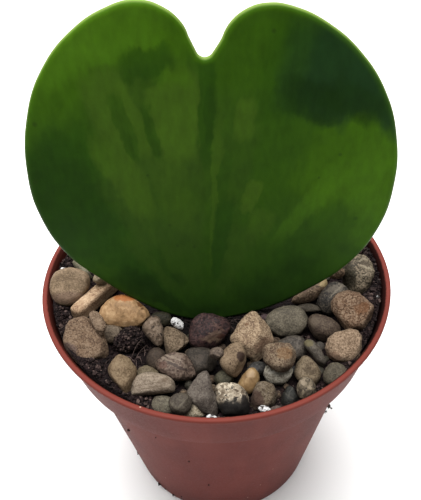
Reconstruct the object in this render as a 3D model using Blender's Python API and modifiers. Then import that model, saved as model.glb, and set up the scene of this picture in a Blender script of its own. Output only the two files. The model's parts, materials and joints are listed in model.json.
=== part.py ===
"""A potted hoya: one thick heart-shaped leaf, rooted in peat under a gravel mulch, in a nursery pot.

The origin is on the pot's axis at the surface that the pot stands on. +Z is up, and the face
of the leaf looks towards -Y. Sizes below are in millimetres, and MM turns them into metres.
"""

import math

import bmesh
import bpy
from mathutils import Matrix, Vector
from mathutils.bvhtree import BVHTree

MM = 0.001
GAP = 0.3            # air left between two pieces that touch

# The pot: a thin injection-moulded shell with a straight collar above a tapered body.
POT_HEIGHT = 77.0
RIM_RADIUS = 45.0
LIP_RADIUS = 0.6     # the rounded bead that runs round the rim
WALL = 1.0
COLLAR_TOP_RADIUS = 44.2
COLLAR_FOOT_RADIUS = 41.5
COLLAR_HEIGHT = 15.0
BODY_TOP_RADIUS = 38.9
BODY_FOOT_RADIUS = 28.9
FOOT_RING_WIDTH = 2.4
FOOT_ROUNDING = 0.6
BASE_LIFT = 1.6      # the base plate is this far above the foot ring
BASE_PLATE = 1.2
DRAIN_HOLES = 8
DRAIN_RADIUS = 2.6
DRAIN_CIRCLE_RADIUS = 19.0
POT_STEPS = 72

# The peat that fills the pot, slightly heaped in the middle.
SOIL_EDGE = 70.4
SOIL_MIDDLE = 71.4
SOIL_STEPS = 48

# The leaf's own plane leans back. Its outline is given as (across, up) in that plane.
LEAF_BASE = (-1.5, -9.0, 72.0)
LEAF_LEAN = 8.0
LEAF_THICKNESS = 2.8
LEAF_EDGE_RADIUS = 1.1
LEAF_OUTLINE = (
    (1, 65.4), (-1.3, 68.5), (-2.8, 72), (-6.5, 75.4), (-11.5, 76.9), (-17, 75.8), (-24, 72),
    (-31, 65), (-36, 55.5), (-38.9, 41), (-38, 30), (-34, 20), (-27.5, 12.5), (-18, 4),
    (-9, -1.4), (-1, -3), (7, -2), (15, 0.3), (24.6, 5.6), (33.6, 12.6), (40.2, 22.8),
    (42.6, 35), (41.6, 46.5), (38, 56.7), (32, 65.2), (25.5, 70.8), (18.6, 74.3),
    (13.5, 75.2), (9.3, 74.2), (6, 71.6), (3.8, 67.8),
)

# The leaf's stalk, from inside the blade down into the peat, and the roots below it.
STALK_RADIUS = 1.9
STALK_PATH = ((-1.5, -8.7, 75), (-1.5, -8.9, 69), (-1.2, -8, 63), (-0.8, -6.5, 57))
CALLUS_RADIUS = 3.4  # the knob of scar tissue at the stalk's cut end
ROOT_RADIUS = 0.9
ROOT_TIP_RADIUS = 0.4
ROOT_TIPS = ((-15, -10, 38), (-9, 5, 31), (3, 9, 26), (15, 1, 33), (9, -15, 36), (-2, -14, 27))

# The gravel lies on the peat. A stone in front is cast down and back, away from the hand, on
# a line through its place at BED_HEIGHT, and stops where it touches what is already there.
BED_HEIGHT = 75.0
HAND = Vector((-1.0, -116.0, 194.0))
DROP = Vector((0.0, 0.0, -1.0))
SLIDE_STEP = 0.2
SLIDE_LIMIT = 40.0
FACE_LEAN = 45.0     # the stones in front turn their broad faces up and forward
STONE_RINGS = 6
STONE_SQUARENESS = 0.85

# Colour and roughness of each kind of stone.
KINDS = {
    "tan": ((0.50, 0.40, 0.29), 0.8),
    "cream": ((0.72, 0.56, 0.36), 0.6),
    "brown": ((0.42, 0.30, 0.20), 0.85),
    "grey": ((0.34, 0.32, 0.29), 0.75),
    "olive": ((0.36, 0.35, 0.26), 0.75),
    "slate": ((0.20, 0.21, 0.22), 0.7),
    "pink": ((0.50, 0.38, 0.33), 0.75),
    "purple": ((0.16, 0.10, 0.11), 0.65),
    "granite": ((0.62, 0.60, 0.52), 0.8),
    "peat": ((0.05, 0.035, 0.03), 0.95),
}

# The block under the leaf's left side: its place, its size and its turn about the vertical.
BRICK_PLACE = (-31.5, -4.5, 74.5)
BRICK_SIZE = (14.0, 3.4, 4.6)
BRICK_TURN = 52.0
BRICK_ROUNDING = 0.8

# Name, kind, place on the bed, thickness, how far towards the hand it starts, and the outline
# of its broad face. The lowest stones come first, because the later ones rest on them.
FRONT_GRAVEL = (
    ("tan_disc", "tan", (-38.4, -0.6), 6, 2,
     ((-5, 0.5), (-3.5, 4), (0, 5), (3.8, 3.5), (4.2, 0), (2.2, -3.4), (-1, -4.8), (-4, -3.5))),
    ("dark_chip", "slate", (-14, -14), 3, 1,
     ((-2.5, 0.5), (-1, 2), (2, 1.5), (2.5, -1), (0, -1.5))),
    ("pink_blade", "pink", (24, -6.5), 3.5, 0,
     ((-4.5, -2), (-0.5, 1), (4.5, 3), (4.5, 1), (1, -2.5), (-3, -3))),
    ("hidden_grey", "grey", (22.5, -12.5), 3.5, 2,
     ((-3, 0.8), (1, 1.2), (3.5, -0.5), (0.5, -1), (-2.5, -0.5))),
    ("banded_oval", "olive", (37.5, -2), 7, 1,
     ((-4, 1), (-1.5, 4.5), (2, 5), (4.5, 1), (1.5, -4.5), (-3, -3))),
    ("blue_veined", "slate", (29.5, -9.5), 5, 2,
     ((-3.5, -1), (-1, 3), (1.5, 3.5), (3.5, 1), (1, -3), (-1.5, -3.5))),
    ("taupe_long", "brown", (26, -18.5), 5, 4,
     ((-4, 1.5), (-2, 3), (2, 1.5), (3.5, -0.5), (1, -3), (-2.5, -2))),
    ("taupe_flat", "grey", (-4, -26.5), 5, 4,
     ((-3, 0.5), (-2, 2), (2.5, 1.5), (3, -1), (1, -2.5), (-2, -2))),
    ("slate_round", "slate", (18, -24.5), 4.5, 4,
     ((-2.5, 1), (-0.5, 2.5), (2, 2), (2.5, -1), (1, -2.5), (-1, -1.5))),
    ("moss_dark", "olive", (-15.5, -26), 4.5, 4,
     ((-2, 0.5), (-0.5, 2.5), (1.5, 1.5), (1.5, -1), (0, -2.5), (-1.5, -1.5))),
    ("olive_chip", "olive", (-17, -29.5), 3, 3,
     ((-2.5, 0), (0, 1.5), (2.5, 0), (2, -1), (-1.5, -1))),
    ("olive_low", "olive", (0, -32), 3.5, 3,
     ((-2, 0), (-0.5, 1.5), (1.5, 1), (2, -0.5), (-0.5, -1.5))),
    ("peach_egg", "cream", (-23.5, -10.5), 5.5, 0.5,
     ((-6, -0.5), (-4, 2.5), (0, 4), (4.5, 1), (6, -1.5), (3.5, -4), (-4, -3.5))),
    ("olive_round", "olive", (-26, -18.5), 4, 1,
     ((-2.2, 0), (-1, 2.2), (1.7, 1.8), (2.3, 0.3), (1, -2), (-1.3, -2))),
    ("peat_clod", "peat", (-21.5, -19.5), 4, 5,
     ((-3.6, -1.8), (-1.7, 1.8), (1.5, 3), (3.2, 1), (3.8, -2), (-0.5, -3.5))),
    ("speckled_oval", "grey", (-16, -18), 4.5, 8,
     ((-2.1, 1), (-0.5, 3.5), (1.4, 3.5), (2.3, -1), (1.5, -3.5), (-0.6, -1.8))),
    ("grey_crescent", "slate", (13, -32), 3.5, 4,
     ((-3.5, 0.5), (-1.5, 1.5), (2, 1), (3.5, 0), (1.5, -2), (-2, -2))),
    ("olive_bean", "olive", (22, -26), 3.5, 6,
     ((-2.5, 2.5), (-0.5, 3), (2, -1.5), (1, -3), (-1.5, 0.5))),
    ("pitted_tan", "tan", (20, -31.5), 4.5, 3,
     ((-3, 0), (-1, 3), (1, 2.5), (3, -0.5), (1.5, -3), (-2, -2))),
    ("smooth_grey", "grey", (25.5, -32.5), 3.5, 0,
     ((-2.5, 0.2), (-1, 2.5), (1.3, 2), (1.8, 0.3), (0.5, -1.4), (-1.8, -1.6))),
    ("dark_slate", "slate", (15, -37.5), 3.5, -2,
     ((-2, -0.5), (-0.5, 2.5), (1, 2), (2, -1), (0.5, -2), (-1.5, -2))),
    ("pepper_stone", "granite", (19, -36), 3.5, 1,
     ((-2, 0), (-1, 2.4), (0.8, 2), (1.4, -0.4), (0.3, -1.7), (-1.6, -1.5))),
    ("two_tone", "tan", (9.5, -37), 4.5, -1,
     ((-3, -1), (-1, 2.5), (2.5, 2), (3, -0.5), (1.5, -2.5), (-2, -2.5))),
    ("pale_green", "grey", (-13.5, -39), 3.5, -1,
     ((-2, 0.4), (-1, 2.5), (1.5, 2), (2.2, -0.4), (0.5, -1.2), (-1.5, -0.8))),
    ("olive_tooth", "olive", (-6.5, -40.5), 3, -2.5,
     ((-2, -1), (0, 2), (2.5, -0.5), (1.5, -1.5), (-1.5, -1.5))),
    ("grey_ball", "grey", (-9, -38.5), 4, 1,
     ((-2.5, 0.5), (-1, 2), (1.3, 1.8), (2.2, 0), (0.5, -2.5), (-1.5, -2))),
    ("granite_lump", "granite", (2, -38), 5.5, 2,
     ((-3.1, 1.8), (-1.8, 3.3), (1.2, 3.2), (3.2, -0.5), (2, -3.5), (-1.2, -3.5))),
    ("amber_drop", "cream", (6, -33.5), 4, 8,
     ((-2, -0.5), (0.5, 3), (2, 2), (2, -0.5), (0, -2.3))),
    ("khaki_wedge", "tan", (-10.5, -20.5), 4.5, 9,
     ((-2.1, -2.4), (-2.1, 2.4), (-0.5, 3), (3, 0), (0, -2.5))),
    ("purple_stone", "purple", (-2, -19.5), 5.5, 10,
     ((-5, -1.5), (-4, 2.5), (-1.5, 4), (3, 3), (4.8, 0.5), (2, -2.7), (-2.5, -3.2))),
    ("olive_oval", "olive", (16.8, -16.3), 5, 10,
     ((-5, 0), (-2.5, 3), (2.5, 3.5), (5, 0.5), (3, -3), (-2, -3.5))),
    ("brown_sandstone", "brown", (-32.5, -18.5), 6.5, 5,
     ((-5, 1), (-3.5, 4.5), (1.3, 4.8), (4.2, 0), (4.6, -2.8), (3, -5), (-2, -5), (-4.5, -2.5))),
    ("tan_slip", "tan", (-30, -14.5), 2, 10,
     ((-1.5, 2.5), (0, 2.5), (1.5, -0.5), (0.5, -2.5), (-1, 0))),
    ("rust_hexagon", "brown", (33.5, -13.5), 6.5, 9,
     ((-5, 2), (-0.5, 4.5), (4.5, 2), (5, -1), (2, -4.5), (-1.5, -4.5))),
    ("pink_rhomb", "pink", (8, -20.5), 6.5, 10,
     ((-5, -0.5), (0, 6), (1.5, 5.5), (5, -1), (1, -6), (-1.5, -4.5))),
    ("pale_round", "tan", (29.5, -25.5), 5.5, 1,
     ((-4.5, 0.5), (-2, 4), (3, 4), (3.8, 0.4), (1.2, -3.4), (-2.5, -2.5))),
    ("orange_brown", "brown", (14, -27.5), 5, 10,
     ((-4, 1), (-1.5, 3.5), (2.5, 3), (4, 0), (1.5, -3.5), (-2, -2))),
    ("grey_kite", "grey", (-4, -36), 5, 8,
     ((-3, 0.8), (0, 5), (1.2, 3.9), (2.8, -3), (1.2, -5), (-1, -3))),
    ("spotted_tan", "tan", (3, -27.5), 5, 11,
     ((-3, 1), (-0.5, 3.5), (2, 4), (3, -0.5), (0.5, -4), (-2.5, -1.5))),
    ("streaked_pink", "pink", (-10, -28.5), 4.5, 12,
     ((-4.5, 1.5), (0, 3.5), (2.5, 2), (3.8, -1.8), (1.6, -2.7), (-2.5, -1))),
    ("beige_bar", "tan", (-15.5, -33), 4.5, 6,
     ((-5, -1), (-3, 2), (1, 2.3), (4.5, 0.2), (4.2, -1.8), (-1, -2.3), (-4.5, -2.5))),
    ("khaki_gem", "tan", (-23, -30), 5, 4,
     ((-3.5, 1), (-0.5, 4.5), (3, 1), (1.6, -4.3), (-0.5, -4))),
)

# Name, kind, place, (length, width, thickness) and turn of the stones behind the leaf.
REAR_GRAVEL = (
    ("rear_grey_oval", "grey", (-26, 8), (9, 7, 5), 20),
    ("rear_tan_round", "tan", (-14, 4), (8, 7.5, 6), 70),
    ("rear_olive_flat", "olive", (-3, 3), (9, 6, 4.5), -15),
    ("rear_pink_oval", "pink", (9, 4), (8.5, 6, 5), 40),
    ("rear_slate_round", "slate", (19, 8), (7, 6.5, 5), 0),
    ("rear_brown_block", "brown", (29, 13), (9, 7, 6), 55),
    ("rear_cream_oval", "cream", (-8, 13), (7.5, 5.5, 4.5), 100),
    ("rear_grey_flat", "grey", (3, 14), (8, 6, 4), -30),
    ("rear_tan_long", "tan", (14, 18), (9.5, 5.5, 5), 15),
    ("rear_olive_round", "olive", (-18, 19), (7, 6.5, 5), 60),
    ("rear_brown_round", "brown", (-6, 25), (6.5, 6, 5), 10),
)
OVAL_CORNERS = 6


def empty_the_scene():
    for thing in list(bpy.data.objects):
        bpy.data.objects.remove(thing)


def new_collection(name):
    collection = bpy.data.collections.new(name)
    bpy.context.scene.collection.children.link(collection)
    return collection


def material(name, colour, roughness):
    finish = bpy.data.materials.new(name)
    finish.use_nodes = True
    shader = finish.node_tree.nodes["Principled BSDF"]
    shader.inputs["Base Color"].default_value = (*colour, 1.0)
    shader.inputs["Roughness"].default_value = roughness
    shader.inputs["Metallic"].default_value = 0.0
    return finish


def new_object(name, mesh, collection):
    thing = bpy.data.objects.new(name, mesh)
    collection.objects.link(thing)
    return thing


def evaluated_mesh(thing):
    """The mesh of an object with its modifiers applied, or of a curve with its caps welded."""
    seen = thing.evaluated_get(bpy.context.evaluated_depsgraph_get())
    mesh = bpy.data.meshes.new_from_object(seen)
    if thing.type == "CURVE":
        bm = bmesh.new()
        bm.from_mesh(mesh)
        bmesh.ops.remove_doubles(bm, verts=bm.verts, dist=0.001 * MM)
        bm.to_mesh(mesh)
        bm.free()
    return mesh


def as_mesh_object(curve):
    mesh = evaluated_mesh(curve)
    thing = new_object(curve.name + "_mesh", mesh, curve.users_collection[0])
    thing.matrix_world = curve.matrix_world
    bpy.data.objects.remove(curve)
    return thing


def cut(thing, tool, operation="DIFFERENCE"):
    """Cut the tool out of the thing, or join it on, and keep the tool only as a guide."""
    boolean = thing.modifiers.new(tool.name, "BOOLEAN")
    boolean.operation = operation
    boolean.object = tool
    tool.hide_render = True
    tool.display_type = "WIRE"


def smooth(mesh, angle=35):
    mesh.shade_smooth()
    mesh.set_sharp_from_angle(angle=math.radians(angle))


def turned(name, profile, steps, collection):
    """Turn a profile of (radius, height) points about the vertical axis."""
    mesh = bpy.data.meshes.new(name)
    edges = [(i, i + 1) for i in range(len(profile) - 1)]
    mesh.from_pydata([(r * MM, 0, z * MM) for r, z in profile], edges, [])
    thing = new_object(name, mesh, collection)
    screw = thing.modifiers.new("turn", "SCREW")
    screw.steps = steps
    screw.render_steps = steps
    screw.use_merge_vertices = True
    screw.merge_threshold = 0.01 * MM
    screw.use_smooth_shade = True
    return thing


def body_radius(height):
    """The outer radius of the tapered body at a height."""
    top = POT_HEIGHT - COLLAR_HEIGHT
    return BODY_FOOT_RADIUS + (BODY_TOP_RADIUS - BODY_FOOT_RADIUS) * height / top


def arc(centre, radius, start, end, count):
    """Points on an arc in the profile's plane, in degrees from straight out."""
    angles = [math.radians(start + (end - start) * i / (count - 1)) for i in range(count)]
    return [(centre[0] + radius * math.cos(a), centre[1] + radius * math.sin(a)) for a in angles]


def pot_profile():
    """From the middle of the base plate's top, up the inside, over the lip and down the outside."""
    plate_top = BASE_LIFT + BASE_PLATE
    step = POT_HEIGHT - COLLAR_HEIGHT
    lip = (RIM_RADIUS - LIP_RADIUS, POT_HEIGHT - LIP_RADIUS)
    collar_top = POT_HEIGHT - 2 * LIP_RADIUS
    inside = [
        (0, plate_top),
        (body_radius(plate_top) - WALL, plate_top),
        (body_radius(step) - WALL, step + WALL),
        (COLLAR_FOOT_RADIUS - WALL, step + WALL),
        (COLLAR_TOP_RADIUS - WALL, collar_top),
    ]
    over_the_lip = arc(lip, LIP_RADIUS, 180, -60, 7)
    outside = [
        (COLLAR_TOP_RADIUS, collar_top - 0.2),
        (COLLAR_FOOT_RADIUS, step + 0.4),
        (COLLAR_FOOT_RADIUS - 0.4, step),
        (body_radius(step), step),
    ]
    foot = arc((BODY_FOOT_RADIUS - FOOT_ROUNDING, FOOT_ROUNDING), FOOT_ROUNDING, 0, -90, 4)
    underside = [
        (BODY_FOOT_RADIUS - FOOT_RING_WIDTH, 0),
        (BODY_FOOT_RADIUS - FOOT_RING_WIDTH, BASE_LIFT),
        (0, BASE_LIFT),
    ]
    return inside + over_the_lip + outside + foot + underside


def drain_cutter(collection):
    """One object of upright cylinders, one for each drainage hole."""
    mesh = bpy.data.meshes.new("drain_holes")
    bm = bmesh.new()
    for i in range(DRAIN_HOLES):
        turn = 2 * math.pi * i / DRAIN_HOLES
        place = Vector((math.cos(turn), math.sin(turn), 0)) * DRAIN_CIRCLE_RADIUS * MM
        bmesh.ops.create_cone(
            bm, cap_ends=True, segments=20, radius1=DRAIN_RADIUS * MM, radius2=DRAIN_RADIUS * MM,
            depth=4 * BASE_PLATE * MM,
            matrix=Matrix.Translation(place + Vector((0, 0, (BASE_LIFT + BASE_PLATE / 2) * MM))),
        )
    bm.to_mesh(mesh)
    bm.free()
    return new_object("drain_holes", mesh, collection)


def make_pot(parts, cutters):
    pot = turned("pot", pot_profile(), POT_STEPS, parts)
    pot.data.materials.append(material("terracotta_plastic", (0.29, 0.10, 0.085), 0.5))
    cut(pot, drain_cutter(cutters))
    return pot


def make_soil(parts, leaf_socket, root_socket):
    """The peat: it follows the inside of the pot, and it has a socket for the leaf and its roots."""
    bottom = BASE_LIFT + BASE_PLATE + GAP
    step = POT_HEIGHT - COLLAR_HEIGHT + WALL + GAP
    collar_slope = (COLLAR_TOP_RADIUS - COLLAR_FOOT_RADIUS) / (COLLAR_HEIGHT - 2 * LIP_RADIUS)
    edge = COLLAR_FOOT_RADIUS - WALL - GAP
    heap = SOIL_MIDDLE - SOIL_EDGE
    top = [(edge * s, SOIL_EDGE + heap * (1 - s * s)) for s in (0, 0.25, 0.5, 0.75, 0.93)]
    side = [
        (edge + collar_slope * (SOIL_EDGE - step), SOIL_EDGE - 0.4),
        (edge, step),
        (body_radius(step) - WALL - 2 * GAP, step),
        (body_radius(bottom) - WALL - GAP, bottom),
        (0, bottom),
    ]
    soil = turned("soil", top + side, SOIL_STEPS, parts)
    soil.data.materials.append(material("peat_and_perlite", *KINDS["peat"]))
    cut(soil, leaf_socket)
    cut(soil, root_socket)
    return soil


def leaf_plane():
    """From the leaf's own (across, up, towards the back) to the world."""
    lean = Matrix.Rotation(math.radians(90 - LEAF_LEAN), 4, "X")
    return Matrix.Translation(Vector(LEAF_BASE) * MM) @ lean


def blade(name, margin, collection):
    """The heart-shaped blade, grown all over by the margin: a flat outline with round edges."""
    curve = bpy.data.curves.new(name, "CURVE")
    curve.dimensions = "2D"
    curve.fill_mode = "BOTH"
    curve.resolution_u = 3
    curve.bevel_depth = LEAF_EDGE_RADIUS * MM
    curve.bevel_resolution = 2
    curve.extrude = (LEAF_THICKNESS / 2 - LEAF_EDGE_RADIUS + margin) * MM
    curve.offset = (margin - LEAF_EDGE_RADIUS) * MM
    spline = curve.splines.new("BEZIER")
    spline.bezier_points.add(len(LEAF_OUTLINE) - 1)
    for point, (across, up) in zip(spline.bezier_points, LEAF_OUTLINE):
        point.co = (across * MM, up * MM, 0)
        point.handle_left_type = "AUTO"
        point.handle_right_type = "AUTO"
    spline.use_cyclic_u = True
    leaf = new_object(name, curve, collection)
    leaf.matrix_world = leaf_plane()
    return as_mesh_object(leaf)


def tube(name, path, radii, sides, collection):
    """A solid round tube through the path's points, with a radius at each."""
    curve = bpy.data.curves.new(name, "CURVE")
    curve.dimensions = "3D"
    curve.bevel_depth = MM
    curve.bevel_resolution = sides
    curve.use_fill_caps = True
    spline = curve.splines.new("POLY")
    spline.points.add(len(path) - 1)
    for point, place, radius in zip(spline.points, path, radii):
        point.co = (*(Vector(place) * MM), 1)
        point.radius = radius
    return as_mesh_object(new_object(name, curve, collection))


def stalk_end():
    """Where the stalk was cut, and the way it points there."""
    last, end = (Vector(place) for place in STALK_PATH[-2:])
    return end, (end - last).normalized()


def make_leaf(parts, cutters, name="leaf", margin=0.0):
    """The blade with its stalk, which grew as one piece. With a margin it is the socket's cutter."""
    end, way = stalk_end()
    path = [*STALK_PATH[:-1], end + way * 3 * margin]
    stalk = tube(name + "_stalk", path, [STALK_RADIUS + margin] * len(path), 2, cutters)
    leaf = blade(name, margin, parts)
    leaf.name = name
    leaf.data.name = name
    cut(leaf, stalk, "UNION")
    smooth(leaf.data)
    leaf.data.materials.append(material(name + "_flesh", (0.05, 0.10, 0.02), 0.4))
    return leaf


def make_roots(parts, cutters, name="roots", margin=0.0):
    """The knob that formed at the cut end of the stalk, with the roots that grew out of it."""
    mesh = bpy.data.meshes.new(name)
    bm = bmesh.new()
    bmesh.ops.create_uvsphere(bm, u_segments=12, v_segments=8, radius=(CALLUS_RADIUS + margin) * MM)
    bm.to_mesh(mesh)
    bm.free()
    roots = new_object(name, mesh, parts)
    end, way = stalk_end()
    start = end + way * (CALLUS_RADIUS + GAP)
    roots.location = start * MM
    roots.data.materials.append(material(name + "_fibre", (0.45, 0.36, 0.24), 0.8))
    for i, tip in enumerate(ROOT_TIPS):
        reach = Vector(tip) - start
        elbow = start + Vector((reach.x * 0.6, reach.y * 0.6, reach.z * 0.4))
        radii = (ROOT_RADIUS + margin, ROOT_RADIUS + margin, ROOT_TIP_RADIUS + margin)
        cut(roots, tube(f"{name}_{i}", (start, elbow, tip), radii, 1, cutters), "UNION")
    smooth(roots.data)
    return roots


def rounded(corners):
    """A closed smooth outline, anticlockwise: each corner, and a point bowed out after it."""
    corners = [Vector(corner) for corner in reversed(corners)]
    count = len(corners)
    outline = []
    for i, corner in enumerate(corners):
        before, after, beyond = corners[i - 1], corners[(i + 1) % count], corners[(i + 2) % count]
        outline += [corner, (9 * (corner + after) - before - beyond) / 16]
    return outline


def oval(length, width):
    """The corners of an oval, clockwise as the other outlines are."""
    turns = [-2 * math.pi * i / OVAL_CORNERS for i in range(OVAL_CORNERS)]
    return [(length / 2 * math.cos(turn), width / 2 * math.sin(turn)) for turn in turns]


def pebble(name, kind, outline, thickness, place, turn, collection):
    """A ball drawn out to an outline and flattened to a thickness."""
    outline = rounded(outline)
    mesh = bpy.data.meshes.new(name)
    bm = bmesh.new()
    bmesh.ops.create_uvsphere(bm, u_segments=len(outline), v_segments=STONE_RINGS, radius=1)
    for vertex in bm.verts:
        across, up, height = vertex.co
        out = math.hypot(across, up) ** STONE_SQUARENESS if abs(height) < 0.999 else 0.0
        side = outline[round(math.atan2(up, across) / (2 * math.pi) * len(outline))]
        flat = math.copysign(abs(height) ** STONE_SQUARENESS, height)
        vertex.co = Vector((side.x * out, side.y * out, flat * thickness / 2)) * MM
    bm.to_mesh(mesh)
    bm.free()
    smooth(mesh, 60)
    stone = new_object(name, mesh, collection)
    stone.matrix_world = Matrix.Translation(Vector(place) * MM) @ turn
    stone.data.materials.append(material(name + "_stone", *KINDS[kind]))
    return stone


def brick(collection):
    """The small squared block with rounded edges."""
    mesh = bpy.data.meshes.new("pink_brick")
    bm = bmesh.new()
    bmesh.ops.create_cube(bm, size=1, matrix=Matrix.Diagonal(Vector(BRICK_SIZE) * MM).to_4x4())
    bm.to_mesh(mesh)
    bm.free()
    stone = new_object("pink_brick", mesh, collection)
    stone.location = Vector(BRICK_PLACE) * MM
    stone.rotation_euler = (0, 0, math.radians(BRICK_TURN))
    edges = stone.modifiers.new("worn_edges", "BEVEL")
    edges.width = BRICK_ROUNDING * MM
    edges.segments = 2
    stone.data.materials.append(material("pink_brick_stone", *KINDS["pink"]))
    return stone


class Bed:
    """What already lies in the pot, as one list of faces to test against."""

    def __init__(self):
        self.points = []
        self.faces = []

    def add(self, thing):
        bpy.context.view_layer.update()
        mesh = evaluated_mesh(thing)
        first = len(self.points)
        self.points += [thing.matrix_world @ vertex.co for vertex in mesh.vertices]
        self.faces += [[first + i for i in face.vertices] for face in mesh.polygons]
        self.tree = BVHTree.FromPolygons(self.points, self.faces)
        bpy.data.meshes.remove(mesh)

    def settle(self, stone, slide, lift):
        """Slide the stone, with its skin grown by the gap, until it touches, and keep it there."""
        bpy.context.view_layer.update()
        mesh = evaluated_mesh(stone)
        skin = [stone.matrix_world @ (vertex.co + vertex.normal * GAP * MM) for vertex in mesh.vertices]
        faces = [list(face.vertices) for face in mesh.polygons]
        bpy.data.meshes.remove(mesh)

        def touches(travel):
            moved = [point + slide * travel * MM for point in skin]
            return bool(BVHTree.FromPolygons(moved, faces).overlap(self.tree))

        travel = -lift
        while travel < SLIDE_LIMIT and not touches(travel + SLIDE_STEP):
            travel += SLIDE_STEP
        stone.matrix_world = Matrix.Translation(slide * travel * MM) @ stone.matrix_world
        self.add(stone)


def lay_gravel(parts, pot, soil, leaf):
    bed = Bed()
    for thing in (pot, soil, leaf):
        bed.add(thing)
    bed.settle(brick(parts), DROP, 0)
    face = Matrix.Rotation(math.radians(FACE_LEAN), 4, "X")
    for name, kind, (x, y), thickness, lift, outline in FRONT_GRAVEL:
        place = Vector((x, y, BED_HEIGHT))
        stone = pebble(name, kind, outline, thickness, place, face, parts)
        bed.settle(stone, (place - HAND).normalized(), lift)
    for name, kind, (x, y), (length, width, thickness), turn in REAR_GRAVEL:
        flat = Matrix.Rotation(math.radians(turn), 4, "Z")
        stone = pebble(name, kind, oval(length, width), thickness, (x, y, BED_HEIGHT), flat, parts)
        bed.settle(stone, DROP, thickness)


def main():
    empty_the_scene()
    parts = new_collection("potted_hoya")
    cutters = new_collection("cutters")
    pot = make_pot(parts, cutters)
    leaf = make_leaf(parts, cutters)
    make_roots(parts, cutters)
    leaf_socket = make_leaf(cutters, cutters, "leaf_socket", GAP)
    root_socket = make_roots(cutters, cutters, "root_socket", GAP)
    soil = make_soil(parts, leaf_socket, root_socket)
    lay_gravel(parts, pot, soil, leaf)


main()
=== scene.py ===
"""The looks of a potted hoya: one thick heart-shaped leaf in a nursery pot mulched with gravel.

Lengths are in millimetres and MM turns them into metres. The leaf's own coordinates are
(across, up) from its base, in the plane that leans back with it.
"""

import json
import math
import random
from functools import partial

import bmesh
import bpy
import numpy as np
from mathutils import Matrix, Vector, noise
from mathutils.bvhtree import BVHTree


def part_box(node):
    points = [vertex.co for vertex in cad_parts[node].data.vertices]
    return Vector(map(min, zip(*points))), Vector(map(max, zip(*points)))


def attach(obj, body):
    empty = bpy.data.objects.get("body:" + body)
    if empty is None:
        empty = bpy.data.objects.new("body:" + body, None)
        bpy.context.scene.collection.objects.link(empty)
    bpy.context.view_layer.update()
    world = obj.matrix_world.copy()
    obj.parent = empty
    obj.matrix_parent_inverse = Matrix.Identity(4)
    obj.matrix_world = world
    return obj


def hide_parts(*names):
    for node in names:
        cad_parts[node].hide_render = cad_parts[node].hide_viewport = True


MM = 0.001

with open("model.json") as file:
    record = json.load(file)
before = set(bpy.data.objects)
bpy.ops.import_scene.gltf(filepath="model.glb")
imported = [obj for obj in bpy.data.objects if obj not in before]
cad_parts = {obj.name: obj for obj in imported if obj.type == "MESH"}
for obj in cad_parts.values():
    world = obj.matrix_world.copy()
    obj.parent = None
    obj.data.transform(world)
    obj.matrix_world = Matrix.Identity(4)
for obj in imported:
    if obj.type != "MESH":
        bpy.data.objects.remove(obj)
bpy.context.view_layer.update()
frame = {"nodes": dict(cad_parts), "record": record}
nodes = frame["nodes"]
slots = {part["node"]: part["material_slot"] for part in frame["record"]["subparts"]}

# The camera.
VIEW_POINT = (-1.0, 0.0, 84.5)
VIEW_DISTANCE = 159.7
VIEW_ELEVATION = 43.33
VIEW_ROLL = -2.66
VIEW_LENS = 45.2

# The studio, in metres.
FLOOR_HALF = 3.0
SURROUND_LIGHT = 0.26
SOFTBOX_PLACE = (-0.06, 0.12, 0.80)
SOFTBOX_WIDTH = 0.9
SOFTBOX_POWER = 16.0
SOFTBOX_TILT = -8

# The pot, as its solid has it.
POT_HEIGHT = 77.0
RIM_RADIUS = 45.0
WALL = 1.0
COLLAR_TOP_RADIUS = 44.2
COLLAR_FOOT_RADIUS = 41.5
COLLAR_HEIGHT = 15.0
BODY_TOP_RADIUS = 38.9
BODY_FOOT_RADIUS = 28.9
LIP_HEIGHT = 1.2
LIP_WIDTH = 1.2
FOOT_RING_WIDTH = 2.4
BASE_LIFT = 1.6
BASE_PLATE = 1.2
DRAIN_HOLES = 8
DRAIN_RADIUS = 2.6
DRAIN_CIRCLE_RADIUS = 19.0
POT_STEPS = 240
OUT_OF_ROUND = 0.12  # how far the thin wall may sag inward

# The leaf's plane, as its solid has it, and a point well inside the heart.
LEAF_BASE = (-1.5, -9.0, 72.0)
LEAF_LEAN = 8.0
LEAF_THICKNESS = 2.8
HEART_MIDDLE = (1.0, 34.0)
LEAF_ROUNDING = 1.3
MARGIN_HALF = 1.15   # half the thickness inside the rounded margin
THICKENING = 3.0     # how far in it takes to reach the full thickness
EDGE_RING = 0.3      # how far in front of the leaf's plane its solid has a ring of points
LEAF_STEPS = 6       # points along each side of the solid's outline
LEAF_RINGS = 48      # rings from the margin to the middle

LITTER_CRUMBS = 5200
LITTER_THREADS = 160
INFILL_TRIES = 500
REAR_TRIES = 1200    # more, only behind the leaf

STALK_RADIUS = 1.9
STALK_TOP_HALF = 0.9     # half its depth where it starts, inside the blade
STALK_SIDES = 32
STALK_PATH = ((-1.5, -8.7, 75), (-1.5, -8.9, 69), (-1.2, -8, 63), (-0.8, -6.5, 57))

FACE_LEAN = 45.0     # the gravel in front turns its broad faces up and forward
STONE_SWELL = 1.07   # a finished stone next to its solid, whose flats it rounds out
LARGE_STONE = 13.0   # the diagonal from which a stone gets a finer mesh


def hexed(code):
    """An sRGB hex colour as the linear RGBA that shaders take."""
    values = [int(code[i:i + 2], 16) / 255 for i in (1, 3, 5)]
    return (*(v / 12.92 if v <= 0.04045 else ((v + 0.055) / 1.055) ** 2.4 for v in values), 1.0)


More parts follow.
